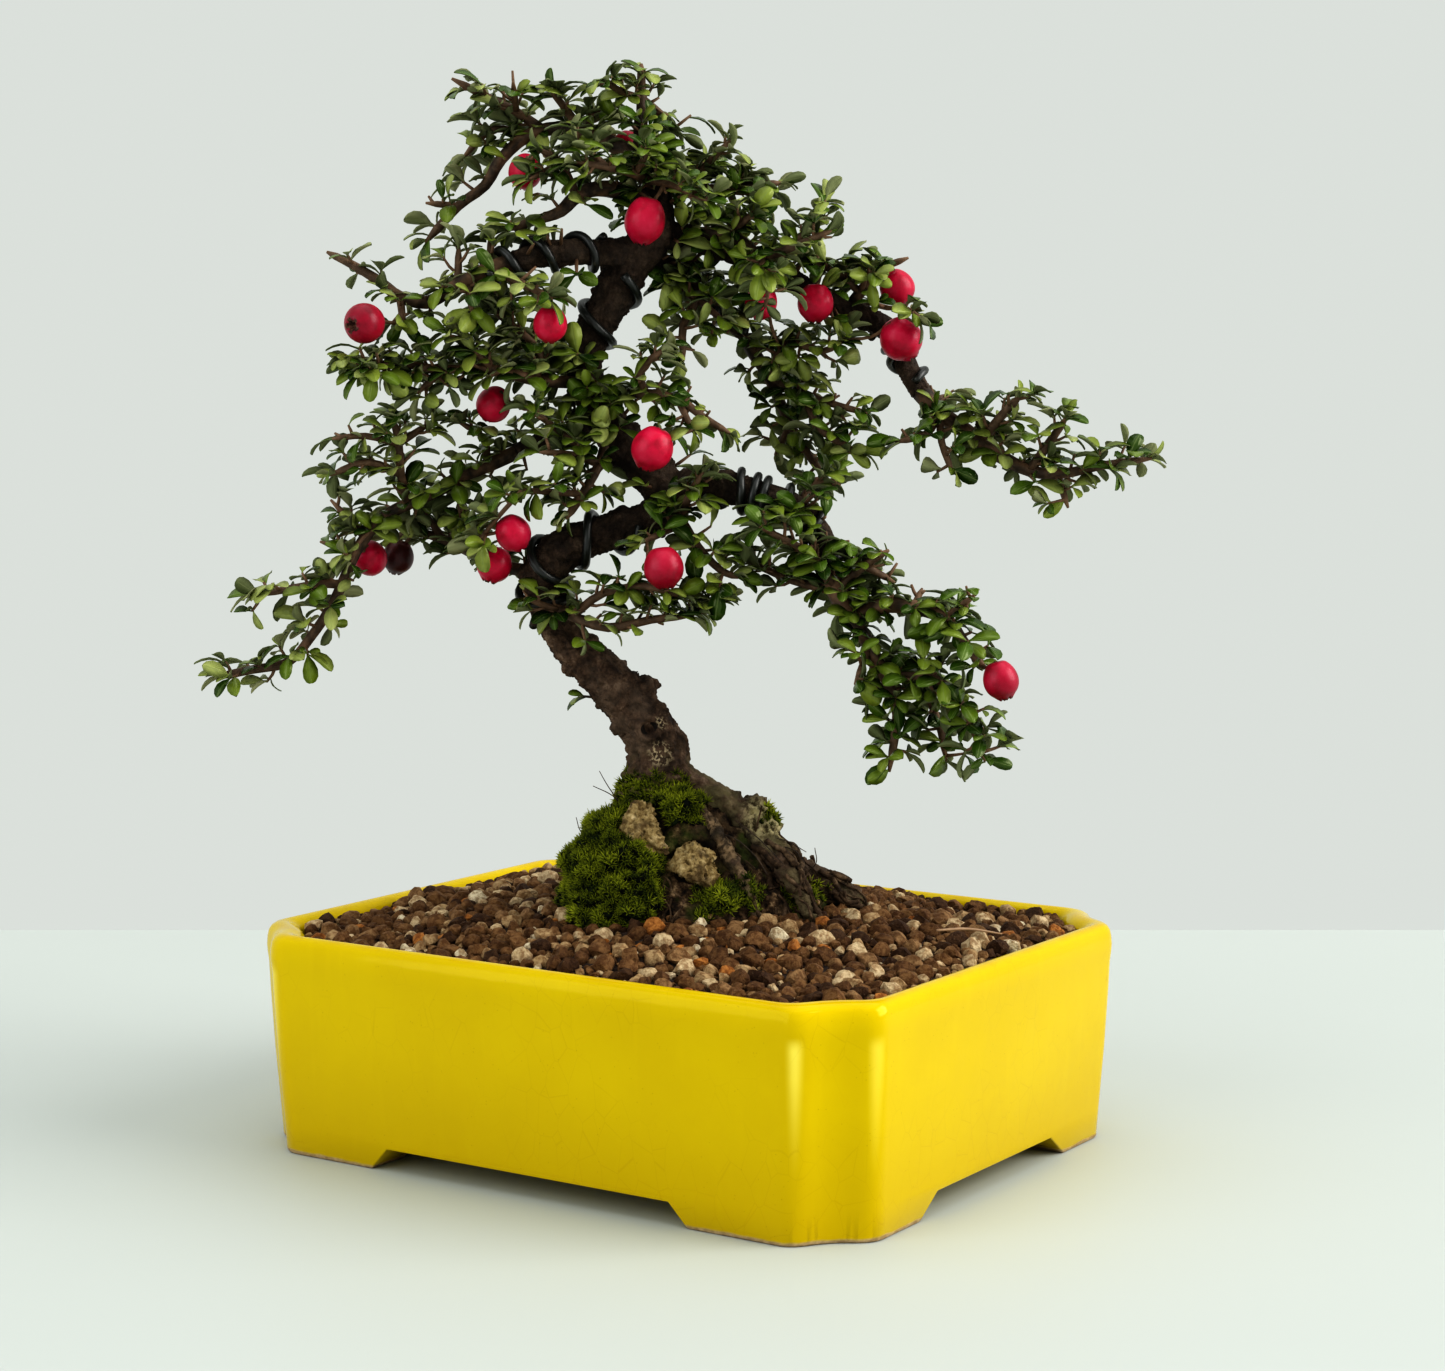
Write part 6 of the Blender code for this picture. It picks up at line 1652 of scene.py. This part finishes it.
# %% Grain shapes
def grain_pattern(seed):
    """Irregular lump of radius 1."""
    lump = primitive(bpy.ops.mesh.primitive_ico_sphere_add, "grain_pattern", subdivisions=2, radius=1.0)
    chips = random.Random(seed)
    planes = [(Vector([chips.gauss(0, 1) for _ in range(3)]).normalized(), chips.uniform(0.62, 0.86))
              for _ in range(9)]
    shift = Vector((seed * 5.1, seed * 2.3, 0))
    for vert in lump.data.vertices:
        for normal, far in planes:
            vert.co -= normal * max(0.0, vert.co.dot(normal) - far)
        vert.co *= 1.12 * (1 + 0.22 * noise.noise(vert.co * 1.3 + shift))
        vert.co.y *= 0.80 + 0.06 * (seed % 3)
        vert.co.z *= 0.86
    edit_all(lump, (bpy.ops.mesh.dissolve_limited, {"angle_limit": math.radians(9)}))
    return lump


GRAIN_KINDS = 6
grain_patterns = [grain_pattern(seed) for seed in range(GRAIN_KINDS)]
print("faces of a grain:", [len(lump.data.polygons) for lump in grain_patterns])

# %% Drop the grains
# In millimetres, along the pot's own sides
soil = nodes["soil"]
soil_skin, mound_side = [skin_of(piece, Matrix.Scale(1 / MM, 4)) for piece in (soil, mound)]
ROOM_X, ROOM_Y, CORNER = 65.2, 51.2, 7.4
SOIL_LOW, ABOVE, CELL = 37, 90, 5
# Few grains lie on the mound, and none high up
ON_MOUND, MOUND_HIGH = 0.10, 49
drop = random.Random(4)
cells, grains = {}, []


def room_for(x, y, radius, closeness):
    """True where a grain of this radius has room among those that lie there."""
    column, row = int(x // CELL), int(y // CELL)
    for i in range(column - 1, column + 2):
        for j in range(row - 1, row + 2):
            for other_x, other_y, other in cells.get((i, j), ()):
                if math.hypot(x - other_x, y - other_y) < (radius + other) * closeness:
                    return False
    cells.setdefault((column, row), []).append((x, y, radius))
    return True


def below(skin, x, y):
    """Where a grain dropped at x, y meets a skin, or None."""
    return skin.ray_cast(Vector((x, y, ABOVE)), Vector((0, 0, -1)))[0]


# Tries, smallest and largest radius, how close grains lie as a share of their size, and how high
LAYERS = [(2200, (1.45, 2.15), 0.90, 0.25),
          (16000, (0.90, 1.45), 0.84, 0.20),
          (11000, (0.45, 0.85), 0.74, 0.10)]
for tries, sizes, closeness, lift in LAYERS:
    for _ in range(tries):
        x, y = drop.uniform(-ROOM_X, ROOM_X), drop.uniform(-ROOM_Y, ROOM_Y)
        radius = drop.uniform(*sizes)
        if abs(x) + radius * 0.8 > ROOM_X or abs(y) + radius * 0.8 > ROOM_Y:
            continue
        if (ROOM_X - abs(x)) + (ROOM_Y - abs(y)) < CORNER + radius:
            continue
        hit, mound_hit = below(soil_skin, x, y), below(mound_side, x, y)
        if hit is None:
            continue
        if hit.z < SOIL_LOW or mound_hit is not None:
            if drop.random() > ON_MOUND:
                continue
            hit = mound_hit or hit
            if hit.z > MOUND_HIGH:
                continue
        if room_for(x, y, radius, closeness):
            grains.append((x, y, hit.z + radius * lift, radius))
print("grains:", len(grains))

# %% Grain material and piece
GRAIN_SWELL = 1.10
places = []
for x, y, z, radius in grains:
    turn = Matrix.Rotation(drop.uniform(0, FULL_TURN), 4, "Z")
    turn = turn @ Matrix.Rotation(drop.uniform(-0.7, 0.7), 4, "X")
    place = Matrix.Translation((x, y, z)) @ turn @ Matrix.Scale(radius * GRAIN_SWELL, 4)
    places.append((drop.randrange(GRAIN_KINDS), Matrix.Rotation(-TREE_TURN, 4, "Z") @ place, drop.random()))
granules = Look("granules", Specular_IOR_Level=0.30)
grit = granules.noise(760.0, 5.0, 0.68)
kinds = granules.ramp(granules.attribute("tone"), [
    (0.00, (0.075, 0.034, 0.012)), (0.14, (0.150, 0.074, 0.026)), (0.38, (0.215, 0.114, 0.044)),
    (0.62, (0.290, 0.172, 0.078)), (0.75, (0.46, 0.32, 0.17)), (0.85, (0.46, 0.20, 0.05)),
    (0.875, (0.64, 0.50, 0.31)), (0.968, (0.76, 0.66, 0.47))], "CONSTANT")
kinds = granules.mix(granules.rise(grit, 0.38, 0.62) * 0.80, kinds, (0.36, 0.25, 0.16), "MULTIPLY")
kinds = granules.mix(granules.rise(granules.noise(1700.0), 0.62, 0.74) * 0.25, kinds, (0.42, 0.30, 0.18))
granule_material = granules.end(Base_Color=kinds, Roughness=0.62 + grit * 0.35,
                                Normal=granules.bump(grit, 0.0010))
dress(smooth(stamp("loose_granules", grain_patterns, places), 32), granule_material, "soil_granules")

# %% [markdown]
# ## Under the granules
# Between the grains the soil's own solid shows as dark gaps, partly painted shade, and the drain screens lie
# under it.
# These parts keep their solids, because nothing more of them can be seen. One dry needle that
# fell on the soil is a bent, tapering rod.

# %% The soil between the grains, and the drain screens under it
# Dark brown soil, darker than loose earth as painted shade for the gaps between grains
base = Look("soil_base", Roughness=0.95)
soil.material_slots[0].material = base.end(Base_Color=base.ramp(
    base.noise(600.0, 4.0), [(0.35, (0.018, 0.010, 0.007)), (0.70, (0.070, 0.040, 0.028))]),
    Normal=base.bump(base.noise(450.0, 4.0), 0.0012))
mesh_plastic = Look("screen_plastic", Roughness=0.5)
weave = mesh_plastic.noise(900.0)
mesh_plastic.end(Base_Color=mesh_plastic.mix(weave, (0.015, 0.015, 0.016), (0.045, 0.045, 0.048)),
                 Normal=mesh_plastic.bump(weave, 0.0002, 0.5))
for name in ("screen_left", "screen_right"):
    nodes[name].material_slots[0].material = mesh_plastic.material

# %% A dry needle on the soil
needle = smooth_path([(46, -33.5, 47.2, 0.26), (52, -30.5, 46.9, 0.30), (58.5, -28.5, 45.6, 0.16)], 6)
straw = Look("dry_needle", Roughness=0.6)
straw_material = straw.end(Base_Color=straw.mix(straw.noise(700.0), (0.20, 0.11, 0.06), (0.42, 0.28, 0.16)))
dress(smooth(rods("dry_needle", [needle])), straw_material, "bark")
patterns_done = [*leaf_patterns, tuft, *grain_patterns]

# %% [markdown]
# ## Studio
# A pale floor, a pale surrounding light, a faint light from above, one large soft lamp from the
# right and a weaker one from the left. The lamps are large, so their shadows have soft edges.

# %% Floor and lamps
# The floor ends behind the pot
FLOOR_SIZE, FLOOR_END = 6.0, 0.215
floor = primitive(bpy.ops.mesh.primitive_plane_add, "studio_floor", size=FLOOR_SIZE)
floor.data.transform(Matrix.Translation((0, FLOOR_END - FLOOR_SIZE / 2, 0)))
floor.data.transform(TREE @ Matrix.Scale(1 / MM, 4))
settle(floor)
paper = Look("floor_paper", Roughness=0.60, Specular_IOR_Level=0.25)
paper_tone = paper.mix(paper.noise(3.0), (0.485, 0.515, 0.495), (0.515, 0.545, 0.525))
floor.data.materials.append(paper.end(Base_Color=paper_tone))

world = bpy.data.worlds.new("studio")
bpy.context.scene.world = world
world.use_nodes = True
background = world.node_tree.nodes["Background"]
background.inputs["Color"].default_value = (0.80, 0.835, 0.80, 1.0)
background.inputs["Strength"].default_value = 0.655
bpy.context.scene.view_settings.view_transform = "Standard"
bpy.context.scene.view_settings.look = "High Contrast"


CROWN_MIDDLE = Vector((0, 0, 90))
LAMP_SIZE = 1.80


def lamp(name, spot, power, colour):
    """A square soft lamp at a spot of the tree's frame, aimed at its middle."""
    data = bpy.data.lights.new(name, "AREA")
    data.size = LAMP_SIZE
    data.energy = power
    data.color = colour
    made = linked(name, data)
    made.location = TREE @ Vector(spot)
    made.rotation_euler = (TREE @ CROWN_MIDDLE - made.location).to_track_quat("-Z", "Y").to_euler()


lamp("key_lamp", (2100, -450, 1170), 46.0, (1.0, 0.98, 0.95))
lamp("fill_lamp", (-1680, -1260, 810), 15.0, (0.97, 0.98, 1.0))
sky = bpy.data.lights.new("top_light", "SUN")
sky.energy = 0.70
sky.angle = 1.2
linked("top_light", sky)

# %% Put the patterns away, and end
for pattern in patterns_done:
    bpy.data.objects.remove(pattern)
